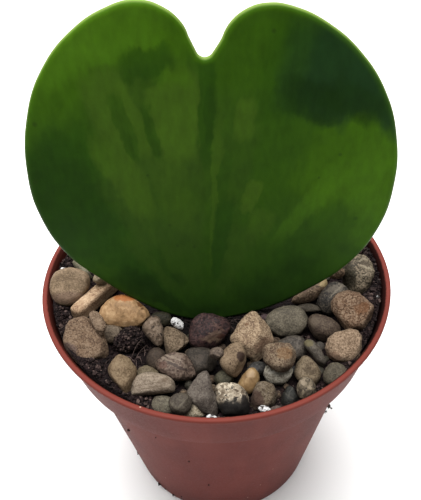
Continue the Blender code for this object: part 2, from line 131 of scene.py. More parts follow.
def fill(node, inputs):
    """Set or link a node's inputs, by name or number. A node stands for its first output in use."""
    for name, value in (inputs.items() if isinstance(inputs, dict) else enumerate(inputs)):
        if isinstance(value, bpy.types.Node):
            value = next(output for output in value.outputs if output.enabled)
        if isinstance(value, bpy.types.NodeSocket):
            node.id_data.links.new(value, node.inputs[name])
        else:
            node.inputs[name].default_value = value


def add_node(tree, kind, inputs=(), **settings):
    """Add a shader node with its settings and its inputs."""
    made = tree.nodes.new("ShaderNode" + kind)
    for name, value in settings.items():
        setattr(made, name, value)
    fill(made, inputs)
    return made


def new_material(name):
    """A new material, the way to add nodes to it, its shader, and its surface point in mm."""
    finish = bpy.data.materials.new(name)
    finish.use_nodes = True
    add = partial(add_node, finish.node_tree)
    place = add("TexCoord").outputs["Object"]
    place = add("VectorMath", {0: place, "Scale": 1 / MM}, operation="SCALE")
    return finish, add, finish.node_tree.nodes["Principled BSDF"], place


def new_object(name, mesh, finish=None):
    """An object of the scene with a mesh and its finish."""
    thing = bpy.data.objects.new(name, mesh)
    bpy.context.scene.collection.objects.link(thing)
    if finish is not None:
        mesh.materials.append(finish)
    return thing


def mesh_from(name, points, faces, smooth=True):
    """A mesh from its points, in metres, and its faces."""
    mesh = bpy.data.meshes.new(name)
    mesh.from_pydata([tuple(p) for p in points], [], faces)
    mesh.update()
    if smooth:
        mesh.shade_smooth()
    return mesh


def tinged(add, colour, ink, value, start, end, most=1.0, **settings):
    """Lay an ink over a colour, the more strongly the nearer a value comes to the end."""
    cover = add("MapRange", (value, start, end, 0, most), **settings)
    return add("Mix", {0: cover, 6: colour, 7: hexed(ink)}, data_type="RGBA")


def ring_faces(rings, count, turned=False):
    """The faces between rings of a count of points that follow each other, turned over if asked."""
    faces = []
    for a in range((rings - 1) * count):
        b = a - a % count + (a + 1) % count
        faces.append((a, b, b + count, a + count) if turned else (a, a + count, b + count, b))
    return faces


def tube_faces(rings, count, turned=False):
    """The faces of a tube through such rings, closed at both ends."""
    ends = [tuple(range(count)), tuple(reversed(range((rings - 1) * count, rings * count)))]
    return ring_faces(rings, count, turned) + [end[::-1] if turned else end for end in ends]


def progress(value, start, end):
    """How far a value has come from a start to an end, from 0 to 1."""
    return np.clip((value - start) / (end - start), 0, 1)


# ---------------------------------------------------------------- gravel

# What each rock shows: the size of its grains and how strongly they show, how deep its
# surface is pitted, and its roughness.
ROCKS = {
    # Sand grains cemented together: matt, and gritty to the touch.
    "sandstone": {"grain": 0.36, "contrast": 1.15, "relief": 0.16, "rough": 0.92},
    # Very fine grains, worn silky in water.
    "siltstone": {"grain": 0.35, "contrast": 0.8, "relief": 0.07, "rough": 0.78},
    # Sugary fused quartz with coloured streaks.
    "quartzite": {"grain": 0.50, "contrast": 1.2, "relief": 0.14, "rough": 0.70},
    # Dense flint-like silica: smooth, faintly waxy.
    "chert": {"grain": 0.8, "contrast": 0.35, "relief": 0.02, "rough": 0.55},
    # Split layers of fine clay with pale veins.
    "slate": {"grain": 0.40, "contrast": 0.9, "relief": 0.10, "rough": 0.72},
    # Interlocked pale and black crystals.
    "granite": {"grain": 0.9, "contrast": 1.0, "relief": 0.12, "rough": 0.82},
}

# For each stone: its rock, its middle, dark and pale colours, how angular it is (0 to 1), and
# its marks: (across, up, half length, half width, turn, colour, strength, raggedness).
# A mark's place is in millimetres from the stone's middle, in the plane of its broad face.
STONES = {
    "tan_disc": ("siltstone", "#79664f", "#5d4c3a", "#927c64", 0.2, (
        (0, -3.5, 5, 1.6, 0, "#685245", 0.6, 0.5),)),
    "pink_brick": ("siltstone", "#a08569", "#755a44", "#b89f82", 0.0, (
        (1.0, 0.6, 0.35, 0.25, 0, "#6c4c32", 0.8, 0.4),
        (-2.4, -0.3, 0.3, 0.3, 0, "#6c4c32", 0.7, 0.4),
        (3.6, 0.2, 0.5, 0.3, 30, "#895f3b", 0.7, 0.5),)),
    "peach_egg": ("chert", "#a7845e", "#71583b", "#cba980", 0.0, (
        (0.3, 3.5, 3.2, 1.2, -8, "#a8602a", 0.8, 0.9),
        (4.2, 1.3, 0.9, 0.4, -35, "#5b3416", 0.8, 0.5),
        (4.7, 0.3, 0.35, 0.3, 0, "#56361b", 0.8, 0.3),)),
    "brown_sandstone": ("sandstone", "#745e4a", "#564335", "#85705c", 0.6, (
        (-3.5, -3.0, 2.4, 2.2, 0, "#564745", 0.6, 0.8),)),
    "tan_slip": ("sandstone", "#796552", "#604d3d", "#8b7763", 0.3, ()),
    "olive_round": ("siltstone", "#5b4e40", "#413529", "#766858", 0.0, ()),
    "speckled_oval": ("granite", "#6f5e4f", "#524436", "#887766", 0.2, ()),
    "dark_chip": ("slate", "#292618", "#18190e", "#363021", 0.4, ()),
    "khaki_wedge": ("sandstone", "#685847", "#4d402f", "#7f6e5a", 0.6, ()),
    "purple_stone": ("quartzite", "#301e1d", "#1b0f10", "#46302d", 0.4, (
        (0.6, -0.6, 3.0, 0.8, 20, "#645042", 0.65, 1.2),
        (1.2, -1.6, 1.8, 0.6, 0, "#75604e", 0.6, 1.2),
        (2.2, 1.4, 2.0, 0.3, -40, "#543d34", 0.6, 0.8),
        (2.6, -0.8, 1.2, 0.6, 0, "#3e2214", 0.6, 0.8),)),
    # taupe_flat's colours are partly its own and partly painted shade from the leaf above it.
    "taupe_flat": ("siltstone", "#322b24", "#1f1a14", "#463e36", 0.3, (
        (-0.8, 0.4, 1.2, 0.8, 20, "#473e36", 0.6, 0.6),)),
    "pink_rhomb": ("sandstone", "#8f7960", "#6a5545", "#a89278", 0.8, (
        (2.4, -2.6, 2.6, 1.8, 30, "#6e503e", 0.55, 0.8),
        (-1.2, 2.6, 0.5, 0.35, 0, "#5b3a26", 0.7, 0.3),)),
    "spotted_tan": ("siltstone", "#725f4a", "#514130", "#83705a", 0.2, (
        (1.9, 0.8, 1.0, 1.25, 10, "#2c1b13", 0.95, 0.2),
        (-0.6, -0.6, 0.3, 0.3, 0, "#3b2a1d", 0.8, 0.2),
        (1.0, -1.2, 0.22, 0.22, 0, "#3b2a1d", 0.8, 0.2),)),
    "olive_oval": ("siltstone", "#61594b", "#484339", "#7a7262", 0.0, ()),
    "hidden_grey": ("siltstone", "#3e372c", "#2a241e", "#534b40", 0.2, ()),
    "pink_blade": ("quartzite", "#634f3f", "#4a3b2c", "#7f6c56", 0.4, (
        (3.6, 1.8, 1.6, 1.1, 30, "#ae9970", 0.85, 0.5),)),
    "banded_oval": ("quartzite", "#5a5040", "#332c20", "#80725f", 0.2, (
        (0.9, 2.5, 1.7, 0.6, -15, "#3c3327", 0.65, 0.9),
        (1.2, 3.6, 2.0, 0.4, 10, "#928773", 0.6, 0.9),
        (1.4, 1.4, 1.8, 0.4, -20, "#948a75", 0.6, 0.9),
        (0.4, -0.4, 1.4, 0.25, 20, "#7e7361", 0.5, 0.9),
        (-3.0, -0.5, 1.4, 3.5, 0, "#2a261a", 0.7, 0.9),)),
    # blue_veined's dark colour is partly its own and partly painted shade, deepened to stand for
    # the shadows on it.
    "blue_veined": ("slate", "#312c27", "#13110d", "#564e43", 0.3, (
        (0.6, 2.4, 2.6, 0.9, 15, "#72695c", 0.6, 0.9),
        (0.4, 1.6, 2.8, 0.2, 40, "#7f7666", 0.6, 0.6),
        (0.9, 0.6, 2.4, 0.2, 35, "#766c5d", 0.6, 0.6),)),
    "rust_hexagon": ("sandstone", "#6c5340", "#463222", "#8b7560", 0.7, (
        (1.6, 0.4, 2.0, 1.4, 20, "#6b4529", 0.5, 0.9),)),
    "taupe_long": ("siltstone", "#46392f", "#31251c", "#5d5041", 0.2, (
        (-2.6, 1.2, 1.6, 1.2, 20, "#625547", 0.5, 1.2),)),
    "pale_round": ("sandstone", "#826d59", "#63503e", "#99836c", 0.4, (
        (-3.0, -2.4, 2.0, 1.4, 0, "#816350", 0.5, 0.8),)),
    "olive_bean": ("siltstone", "#4a443b", "#352f28", "#5e564d", 0.0, (
        (-1.0, 1.8, 1.2, 0.8, 0, "#655c3c", 0.6, 0.6),)),
    "slate_round": ("slate", "#453e37", "#2c2722", "#585148", 0.2, (
        (0.2, 0.4, 2.2, 0.25, 70, "#605850", 0.5, 1.0),)),
    "orange_brown": ("sandstone", "#645342", "#4a382b", "#7d6d59", 0.6, (
        (1.0, 1.0, 2.0, 1.3, 0, "#6c4d2e", 0.5, 0.9),)),
    "grey_crescent": ("siltstone", "#898375", "#61594d", "#ada698", 0.2, (
        (-0.2, 1.1, 2.4, 0.4, 5, "#b0ab9f", 0.6, 0.4),)),
    "pitted_tan": ("siltstone", "#695b47", "#4b3d2e", "#7e6f5b", 0.3, (
        (0.2, 0.4, 1.4, 1.1, 0, "#403425", 0.65, 1.2),
        (0.7, 0.8, 0.6, 0.35, 30, "#70604c", 0.6, 1.0),)),
    "smooth_grey": ("siltstone", "#4c4538", "#363026", "#5e5749", 0.0, ()),
    "pepper_stone": ("granite", "#605544", "#332b21", "#7f7260", 0.3, (
        (0.6, -1.4, 1.2, 0.9, 0, "#292118", 0.7, 0.9),)),
    "dark_slate": ("slate", "#181712", "#0a0a07", "#25241f", 0.5, (
        (0.2, 0.6, 1.8, 0.15, 60, "#373630", 0.8, 0.4),
        (-0.3, -0.4, 1.6, 0.15, -35, "#35322b", 0.7, 0.4),)),
    "two_tone": ("sandstone", "#574b3a", "#3e3125", "#695d4f", 0.5, (
        (-2.0, -1.0, 1.7, 2.2, 25, "#36231c", 0.8, 0.9),)),
    "amber_drop": ("chert", "#816745", "#5f472c", "#9b825e", 0.0, (
        (0.6, 1.6, 1.0, 1.0, 0, "#9b8365", 0.6, 0.6),)),
    "olive_low": ("siltstone", "#3e3a2c", "#272519", "#4f4b3b", 0.1, ()),
    "granite_lump": ("granite", "#857866", "#4e4133", "#b5a995", 0.5, (
        (-0.2, -3.3, 6.5, 3.9, 4, "#0c0908", 0.98, 1.3),
        (2.9, -0.4, 0.9, 1.6, 10, "#120d0b", 0.9, 0.8),
        (2.6, 0.6, 0.7, 0.9, 0, "#191410", 0.8, 0.6),)),
    "grey_kite": ("siltstone", "#564d45", "#3c342f", "#686057", 0.8, ()),
    "streaked_pink": ("quartzite", "#58473d", "#3d3028", "#6d5e52", 0.6, (
        (-1.2, 0.8, 3.2, 0.4, -30, "#7c6e60", 0.8, 0.6),
        (0.6, -0.2, 3.0, 0.35, -25, "#2f221f", 0.8, 0.6),
        (-0.4, 1.8, 2.4, 0.3, -20, "#847667", 0.7, 0.6),
        (-2.8, 0.2, 1.0, 0.8, 0, "#543a30", 0.6, 0.6),)),
    "moss_dark": ("siltstone", "#392e26", "#2a211a", "#45392e", 0.1, ()),
    "beige_bar": ("siltstone", "#7c6e5f", "#5e5042", "#908271", 0.3, (
        (0.5, 0.4, 4.0, 0.14, 5, "#5e4f42", 0.7, 0.4),
        (-0.5, -0.6, 4.0, 0.14, 8, "#635445", 0.6, 0.4),
        (3.0, 1.0, 0.7, 0.4, 10, "#584838", 0.6, 0.4),)),
    "olive_chip": ("siltstone", "#5d5240", "#473c2a", "#716550", 0.4, ()),
    "khaki_gem": ("siltstone", "#6e5b45", "#50402c", "#7e6c54", 0.6, ()),
    "pale_green": ("siltstone", "#5c5547", "#3f392f", "#6b6658", 0.1, ()),
    "grey_ball": ("siltstone", "#3f372f", "#2c251d", "#524b3f", 0.2, (
        (0.4, 0.3, 2.0, 0.2, 50, "#5d5649", 0.5, 0.8),)),
    # Painted light: olive_tooth's colours are made much lighter than its neighbours' to lift the
    # shade it lies in.
    "olive_tooth": ("siltstone", "#b0a38c", "#82755e", "#d7c9ad", 0.5, ()),
}

# How a finished stone differs from its solid: moved across and up its face (mm), and how much
# wider and longer it is.
FITS = {
    "tan_disc": (0.3, -0.5, 1.06, 0.98), "brown_sandstone": (0.4, -0.8, 1.04, 1.10),
    "olive_round": (-0.2, 0.6, 1.25, 0.95), "peat_clod": (-0.3, 0.2, 0.92, 0.92),
    "speckled_oval": (0.0, 0.2, 1.13, 0.98), "khaki_wedge": (0.0, -0.3, 1.09, 1.1),
    "moss_dark": (0.7, 0.0, 1.2, 1.05), "streaked_pink": (0.0, -0.3, 1.06, 1.06),
    "taupe_flat": (-0.6, -0.3, 1.15, 1.4), "khaki_gem": (0.6, 0.2, 0.94, 0.95),
    "beige_bar": (0.1, 0.2, 0.96, 1.0), "pale_green": (0.4, -0.3, 1.32, 1.12),
    "grey_ball": (0.0, 0.2, 1.05, 1.0), "grey_kite": (-0.2, -0.2, 1.12, 0.94),
    "purple_stone": (0.0, 0.6, 1.0, 1.15), "pink_rhomb": (0.0, -0.4, 0.98, 0.91),
    "spotted_tan": (0.0, 0.2, 0.98, 0.94), "orange_brown": (-0.1, 0.2, 0.91, 0.91),
    "slate_round": (-0.8, 0.0, 1.35, 1.1), "amber_drop": (0.1, -0.1, 1.18, 1.07),
    "olive_low": (0.7, -0.2, 1.1, 1.2), "grey_crescent": (0.0, 0.6, 0.95, 1.25),
    "granite_lump": (0.2, 0.1, 1.12, 1.0), "two_tone": (-0.3, -0.4, 0.95, 1.2),
    "dark_slate": (0.0, -0.6, 0.98, 1.0), "pepper_stone": (0.2, -0.2, 1.2, 1.1),
    "blue_veined": (0.0, 0.0, 1.14, 1.1), "rust_hexagon": (0.0, 0.1, 0.96, 0.98),
    "taupe_long": (0.0, -0.3, 1.0, 1.1), "olive_bean": (0.6, -0.3, 1.04, 1.0),
    "pitted_tan": (-0.2, 0.2, 0.98, 1.08), "smooth_grey": (0.7, -0.2, 1.18, 1.13),
    "pink_blade": (-0.3, -0.1, 0.95, 1.02), "banded_oval": (-0.3, -0.3, 0.96, 1.08),
    "olive_tooth": (0.1, 0.6, 1.1, 1.2), "tan_slip": (0.3, 0.2, 1.28, 1.05),
}

# The flats worn or broken on a stone: which way each faces, in degrees round the stone's face
# from its right-hand side and in degrees up towards the eye, and the share it takes off.
FLATS = {
    "tan_disc": ((80, 84, 0.30),),
    "brown_sandstone": (
        (90, 80, 0.38), (40, 14, 0.16), (355, 30, 0.10), (215, 30, 0.14), (300, 35, 0.12)),
    "khaki_wedge": ((80, 78, 0.38), (312, 12, 0.26), (195, 20, 0.16), (45, 12, 0.12)),
    "purple_stone": ((110, 55, 0.22), (300, 42, 0.20), (30, 50, 0.16)),
    "pink_rhomb": (
        (130, 60, 0.30), (320, 42, 0.28), (35, 30, 0.16), (220, 35, 0.16), (85, 15, 0.10)),
    "spotted_tan": ((105, 70, 0.22), (328, 38, 0.26)),
    "pink_blade": ((90, 60, 0.25), (275, 30, 0.16)),
    "banded_oval": ((62, 56, 0.26), (200, 35, 0.20), (300, 32, 0.12)),
    "blue_veined": ((120, 60, 0.20), (340, 45, 0.16)),
    "rust_hexagon": ((92, 76, 0.34), (270, 25, 0.16), (330, 30, 0.16), (180, 30, 0.12)),
    "taupe_long": ((100, 60, 0.20), (265, 35, 0.14)),
    "taupe_flat": ((110, 62, 0.28), (0, 38, 0.22), (200, 35, 0.20), (285, 30, 0.16)),
    "olive_round": ((95, 70, 0.25),),
    "smooth_grey": ((90, 75, 0.20),),
    "olive_low": ((80, 60, 0.20),),
    "pale_round": ((100, 72, 0.26), (268, 22, 0.14), (350, 30, 0.10)),
    "slate_round": ((95, 66, 0.20),),
    "orange_brown": ((100, 66, 0.32), (290, 25, 0.20), (0, 35, 0.16), (180, 30, 0.16)),
    "grey_crescent": ((82, 58, 0.36), (270, 20, 0.10)),
    "pitted_tan": ((92, 76, 0.26),),
    "pepper_stone": ((90, 60, 0.25), (320, 35, 0.15)),
    "dark_slate": ((105, 60, 0.28), (340, 40, 0.20)),
    "two_tone": ((88, 66, 0.30), (200, 32, 0.20), (300, 30, 0.16)),
    "granite_lump": ((92, 58, 0.26), (270, 22, 0.24), (0, 20, 0.10), (180, 20, 0.10)),
    "grey_kite": ((150, 58, 0.26), (350, 40, 0.24)),
    "streaked_pink": ((105, 60, 0.26), (20, 40, 0.20), (282, 30, 0.20), (170, 35, 0.14)),
    "beige_bar": ((95, 80, 0.36), (270, 30, 0.24), (8, 12, 0.14), (175, 20, 0.08)),
    "khaki_gem": (
        (100, 76, 0.32), (215, 24, 0.22), (335, 26, 0.20), (40, 30, 0.20), (148, 24, 0.16)),
    "grey_ball": ((112, 60, 0.26), (0, 45, 0.20), (250, 35, 0.16)),
    "olive_tooth": ((165, 45, 0.34), (20, 40, 0.28)),
    "olive_chip": ((90, 60, 0.30),),
    "tan_slip": ((40, 60, 0.20),),
}
STONE_DROP = 0.3     # finished stones sit this much lower on their faces than their solids

# What the small stones in the gaps look like, by slot. They are darker than the same kinds in
# REAR_LOOKS: painted shade of the gaps.
INFILL_LOOKS = {
    "gravel_tan": ("sandstone", "#4f4234", "#382d23", "#655645"),
    "gravel_brown": ("sandstone", "#42352a", "#2d221a", "#5a4a3b"),
    "gravel_grey": ("siltstone", "#3f3a34", "#2c2722", "#544e47"),
    "gravel_olive": ("siltstone", "#3d392f", "#2b2820", "#524d40"),
    "gravel_slate": ("slate", "#302e2b", "#1c1a17", "#484540"),
}

# Single things: look, size (across, deep, high), where they settle from, and turns about X, Z.
EXTRAS = (
    ("grey_green_sliver", ("gravel_olive", "siltstone", "#67624f", "#4b4839", "#7c7662"),
     (10.0, 1.9, 3.0), (-36.0, 5.2, 76), (0, -51)),
    ("grey_beige_chip", ("gravel_grey", "siltstone", "#85765f", "#625644", "#9f9078"),
     (4.8, 3.3, 3.3), (-29.6, -1.3, 76), (20, 20)),
    ("small_taupe_chip", ("gravel_brown", "siltstone", "#55483e", "#3b3029", "#6c5e52"),
     (3.6, 3.0, 4.4), (-0.6, -27.8, 70), (40, 0)),
    ("brown_chip", ("gravel_brown", "sandstone", "#665341", "#463628", "#836c55"),
     (4.6, 3.4, 3.6), (31.3, -2.6, 76), (30, 0)),
    ("grey_sliver", ("gravel_grey", "slate", "#51483f", "#38312a", "#6c6258"),
     (5.6, 1.7, 2.2), (23.0, -23.2, 72), (35, -48)),
    ("brown_flat", ("gravel_brown", "siltstone", "#463b35", "#302723", "#5a4d46"),
     (3.8, 2.0, 1.6), (11.6, -40.2, 76), (20, 15)),
    ("dark_grey_chip", ("gravel_slate", "slate", "#33312f", "#201f1d", "#4c4945"),
     (5.0, 3.2, 4.4), (8.4, -29.4, 65.8), (40, 10)),
    ("purple_bit", ("gravel_purple", "siltstone", "#4a3a3c", "#33272a", "#64524f"),
     (3.0, 2.0, 2.4), (12.0, -13.0, 76), (30, 0)),
    ("perlite_left", "perlite", (4.2, 2.2, 2.7), (-9.8, -17.6, 76), (40, -38)),
    ("perlite_right", "perlite", (2.9, 1.7, 1.5), (9.2, -40.4, 76), (30, -20)),
    ("perlite_front", "perlite", (2.6, 1.6, 1.2), (-2.4, -41.4, 76), (20, 0)),
    ("perlite_crumb_right", "perlite", (0.9, 0.8, 0.8), (40.4, -11.2, 76), (0, 0)),
    ("perlite_crumb_left", "perlite", (1.4, 1.2, 1.5), (-41.0, 4.7, 76), (0, 0)),
    ("perlite_crumb_edge", "perlite", (0.5, 0.5, 0.5), (37.8, -20.4, 76), (0, 0)),
)

# Crumbs of mix stuck to the outside of the pot: (degrees round it, height, size).
STUCK_CRUMBS = (
    (328, 40, 1.3), (326, 38.6, 0.7), (225, 43, 0.7), (219, 47, 0.4), (201, 4.5, 0.9),
    (203, 6.8, 0.5), (198, 2.6, 0.6), (225, 2.5, 1.0), (230, 2.2, 0.6), (236, 2.0, 0.8),
    (243, 5.0, 0.4), (255, 41, 0.4), (262, 24, 0.4), (243, 52, 0.4), (100, 48, 0.8),
    (128, 30, 0.6), (70, 22, 0.7), (20, 35, 0.5), (150, 55, 0.5),
)
CLOD_CRUMBS = 700
CLOD_THREADS = (
    ((-18.2, -20.6, 75.6), (-20.8, -26.2, 75.2)),
    ((-17.0, -22.6, 75.8), (-20.4, -27.6, 74.6)),
)

# The rock and the colours of the stones behind the leaf, by slot, and how worn they all are.
REAR_LOOKS = {
    "gravel_tan": ("sandstone", "#a08a70", "#7d6750", "#b9a186"),
    "gravel_cream": ("chert", "#c79b6c", "#8a6a4a", "#e2ba88"),
    "gravel_brown": ("sandstone", "#8c6f57", "#5c4432", "#b39a80"),
    "gravel_grey": ("siltstone", "#766c64", "#554b45", "#8e857c"),
    "gravel_olive": ("siltstone", "#726b5d", "#565046", "#908778"),
    "gravel_slate": ("slate", "#57534e", "#2b2926", "#8e8980"),
    "gravel_pink": ("quartzite", "#836f64", "#5e4d44", "#a39184"),
}
REAR_ANGULAR = 0.4
REAR_GRIT = 0.05


def water_worn_stone(name, rock, middle, dark, pale, marks=()):
    """A river stone: mottled, grainy at its rock's own scale, with the marks laid over it."""
    look = ROCKS[rock]
    finish, add, shader, place = new_material(f"{name}_{rock}")
    seed = [random.Random(name).uniform(-50, 50) for _ in range(3)]
    own = add("VectorMath", (place, seed), operation="ADD")
    mottle = add("TexNoise", {"Vector": own, "Scale": 1 / 3.2, "Detail": 5, "Roughness": 0.6})
    grain = add("TexNoise", {"Vector": own, "Scale": 1 / look["grain"], "Detail": 2})
    cells = add("TexVoronoi", {"Vector": own, "Scale": 1 / (0.8 * look["grain"])})
    cell = add("SeparateColor", (cells.outputs["Color"],))
    speckle = add("Math", (grain, cell), operation="ADD")
    most = 0.42 * look["contrast"]
    grains = add("MapRange", (speckle, 0.4, 1.6, -most, most), clamp=False)
    tone = add("MapRange", (mottle, 0.32, 0.68, 0.25, 0.75))
    tone = add("Math", (tone, grains), operation="ADD")
    ramp = add("ValToRGB", (tone,))
    stops = ramp.color_ramp.elements
    stops[0].position, stops[0].color = 0.12, hexed(dark)
    stops[1].position, stops[1].color = 0.88, hexed(pale)
    stops.new(0.5).color = hexed(middle)
    colour = ramp
    if rock == "granite":
        crystals = add("TexNoise", {"Vector": own, "Scale": 1 / 0.9, "Detail": 3, "Roughness": 0.7})
        colour = tinged(add, colour, "#2b2520", crystals, 0.57, 0.62)
    warp = add("TexNoise", {"Vector": own, "Scale": 1 / 1.4, "Detail": 4, "Roughness": 0.65})
    warp = add("VectorMath", (warp.outputs["Color"], (0.5, 0.5, 0.5)), operation="SUBTRACT")
    for across, up, length, width, turn, ink, strength, ragged in marks:
        shift = add("VectorMath", {0: warp, "Scale": 2.5 * ragged}, operation="SCALE")
        moved = add("VectorMath", (place, shift), operation="ADD")
        local = add("Mapping", {
            0: moved, "Location": (across, up, 0), "Rotation": (0, 0, math.radians(turn)),
            "Scale": (length, width, 1000)}, vector_type="TEXTURE")
        far = add("VectorMath", (local,), operation="LENGTH")
        colour = tinged(add, colour, ink, far, 1.15, 0.75, strength,
                        interpolation_type="SMOOTHSTEP")
    pits = add("TexVoronoi", {"Vector": own, "Scale": 1 / (2.2 * look["grain"])})
    few = add("SeparateColor", (pits.outputs["Color"],))
    few = add("MapRange", (few, 0.55, 0.60))
    pit = add("MapRange", (pits.outputs["Distance"], 0.30, 0.15))
    pit = add("Math", (pit, few), operation="MULTIPLY")
    hollow = add("Math", (pit, 0.6 * min(1.0, look["contrast"])), operation="MULTIPLY")
    colour = add("Mix", {0: hollow, 6: colour, 7: hexed(dark)}, data_type="RGBA")
    height = add("Math", (speckle, pit), operation="SUBTRACT")
    bump = add("Bump", {"Height": height, "Distance": look["relief"] * MM})
    rough = add("MapRange", (grain, 0.3, 0.7, look["rough"] - 0.1, min(1.0, look["rough"] + 0.08)))
    fill(shader, {
        "Base Color": colour, "Roughness": rough, "Normal": bump,
        "IOR": 1.5, "Specular IOR Level": 0.3})
    return finish


def ball(divisions):
    """The points, faces and edges of an icosphere of radius 1."""
    bm = bmesh.new()
    bmesh.ops.create_icosphere(bm, subdivisions=divisions, radius=1)
    points = np.array([vertex.co for vertex in bm.verts])
    faces = [[vertex.index for vertex in face.verts] for face in bm.faces]
    edges = np.array([[vertex.index for vertex in edge.verts] for edge in bm.edges])
    bm.free()
    return points, faces, edges


BALLS = {divisions: ball(divisions) for divisions in (1, 3, 4, 5)}


def smoothed(values, edges, rounds):
    """Average each value with its neighbours' a few times."""
    count = np.bincount(edges.ravel(), minlength=len(values))
    for _ in range(rounds):
        total = np.bincount(edges[:, 0], values[edges[:, 1]], len(values))
        total += np.bincount(edges[:, 1], values[edges[:, 0]], len(values))
        values = 0.4 * values + 0.6 * total / count
    return values


def roughened(points, size, amounts, seed):
    """Move points along their own direction by fractal noise: (scale, amount) in millimetres."""
    offset = Vector((seed % 97, seed % 89, seed % 83))
    out = points / np.linalg.norm(points, axis=1)[:, None]
    rise = np.zeros(len(points))
    for scale, amount in amounts:
        rise += [amount * noise.fractal(Vector(p) / scale + offset, 1.0, 2.0, 3) for p in points]
    return points + out * np.minimum(rise, 0.12 * size)[:, None]


def way_to(turn, tilt):
    """The direction that is turned round a stone's face and tilted up towards the eye."""
    turn, tilt = math.radians(turn), math.radians(tilt)
    level = math.cos(tilt)
    return np.array([math.cos(turn) * level, math.sin(turn) * level, math.sin(tilt)])


def flattened(points, way, share, soft):
    """Press the points that reach furthest along a way back to a flat with soft edges."""
    height = points @ way
    over = soft * np.logaddexp(0, (height - height.max() * (1 - share)) / soft)
    return points - np.outer(0.94 * over, way)


def worn_stone(name, angular, grit, divisions, lean):
    """The stone of a CAD node with flats worn on it and a natural surface, about its own middle."""
    source = nodes[name].data
    corners = [vertex.co.copy() for vertex in source.vertices]
    tree = BVHTree.FromPolygons(corners, [list(face.vertices) for face in source.polygons])
    low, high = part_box(name)
    middle = (low + high) / 2
    turn = Matrix.Rotation(math.radians(lean), 3, "X")
    local = np.array([turn.transposed() @ (corner - middle) for corner in corners]) / MM
    half = (local.max(0) - local.min(0)) / 2
    ways, faces, edges = BALLS[divisions]
    ways = ways * half
    ways = ways / np.linalg.norm(ways, axis=1)[:, None]
    far = np.array([(tree.ray_cast(middle, turn @ Vector(way))[3] or 0.001) for way in ways]) / MM
    far = smoothed(far, edges, 2 if divisions == 5 else 1)
    points = ways * far[:, None]
    draw = random.Random(name)
    size = half.max()
    soft = size * (0.05 - 0.035 * angular)
    for round_face, tilt, share in FLATS.get(name, ()):
        points = flattened(points, way_to(round_face, tilt), share, soft)
    # Small chance flats, up to twelve on the most angular stone.
    for _ in range(round(12 * angular)):
        way = way_to(draw.uniform(0, 360), draw.uniform(-70, 60))
        points = flattened(points, way, draw.uniform(0.04, 0.08 + 0.08 * angular), soft)
    seed = draw.randrange(10000)
    wave = 0.02 + 0.05 * angular
    points = roughened(points, size, ((size * 0.6, wave * size), (0.8, grit)), seed)
    points = points - (points.max(0) + points.min(0)) / 2
    points = points * 2 * half / np.ptp(points, 0) * STONE_SWELL
    across, along, wide, tall = FITS.get(name, (0, 0, 1, 1))
    shift = (across, along - STONE_DROP, 0) if lean else (0, 0, 0)
    points = points * (wide, tall, 1) + (local.max(0) + local.min(0)) / 2 + shift
    mesh = mesh_from(name, points * MM, faces)
    return mesh, Matrix.Translation(middle) @ turn.to_4x4()


def make_gravel():
    """Every stone of the mulch, front and rear, each on its own CAD node's place."""
    rear = sorted(node for node in nodes if node.startswith("rear_"))
    looks = STONES | {name: (*REAR_LOOKS[slots[name]], REAR_ANGULAR, ()) for name in rear}
    stones = []
    for name, (rock, middle, dark, pale, angular, marks) in looks.items():
        low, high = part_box(name)
        front = name in STONES
        large = front and (high - low).length > LARGE_STONE * MM
        lean = FACE_LEAN if front and name != "pink_brick" else 0
        grit = 0.6 * ROCKS[rock]["relief"] if front else REAR_GRIT
        mesh, matrix = worn_stone(name, angular, grit, 5 if large else 4, lean)
        finish = water_worn_stone(name, rock, middle, dark, pale, marks)
        stone = new_object(name + "_stone", mesh, finish)
        stone.matrix_world = matrix
        settle_piece(stone, slots[name], name)
        stones.append(stone)
    bpy.context.view_layer.update()
    return stones


def settle_piece(piece, slot, *replaced):
    """Let a piece ride on the plant's one body, and hide the CAD nodes it stands for; its slot is
    not used.
    """
    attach(piece, "root")
    if replaced:
        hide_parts(*replaced)


# ---------------------------------------------------------------- pot


def body_radius(height):
    """The outer radius of the tapered body at a height."""
    top = POT_HEIGHT - COLLAR_HEIGHT
    return BODY_FOOT_RADIUS + (BODY_TOP_RADIUS - BODY_FOOT_RADIUS) * height / top


def collar_inside(height):
    """The inner radius of the straight-sided collar at a height."""
    slope = (COLLAR_TOP_RADIUS - COLLAR_FOOT_RADIUS) / COLLAR_HEIGHT
    return COLLAR_FOOT_RADIUS - WALL + slope * (height - POT_HEIGHT + COLLAR_HEIGHT)


def rounded_profile(corners):
    """A profile of (radius, height, rounding) corners, each rounding a curve of five steps."""
    points = []
    for i, (r, z, rounding) in enumerate(corners):
        here = Vector((r, z))
        if rounding == 0 or i in (0, len(corners) - 1):
            points.append(here)
            continue
        before = Vector(corners[i - 1][:2]) - here
        after = Vector(corners[i + 1][:2]) - here
        start = here + before.normalized() * min(rounding, before.length * 0.45)
        end = here + after.normalized() * min(rounding, after.length * 0.45)
        for step in range(6):
            t = step / 5
            points.append(start * (1 - t) ** 2 + here * 2 * t * (1 - t) + end * t ** 2)
    return points


def spread(points, longest):
    """Add points along a profile so that no step is longer than the longest."""
    full = []
    for here, after in zip(points, points[1:]):
        steps = max(1, math.ceil((after - here).length / longest))
        full += [here.lerp(after, i / steps) for i in range(steps)]
    return full + [points[-1]]


def lathe(profile, steps):
    """Points and faces of a profile turned about the vertical axis, closed at its two ends."""
    turns = np.linspace(0, 2 * math.pi, steps, endpoint=False)
    rings = profile[1:-1]
    points = [(r * math.cos(a), r * math.sin(a), z) for r, z in rings for a in turns]
    faces = ring_faces(len(rings), steps)
    first, last = len(points), len(points) + 1
    points += [(0, 0, profile[0][1]), (0, 0, profile[-1][1])]
    for j in range(steps):
        k = (j + 1) % steps
        faces += [(first, j, k), (last, first - steps + k, first - steps + j)]
    return np.array(points), faces


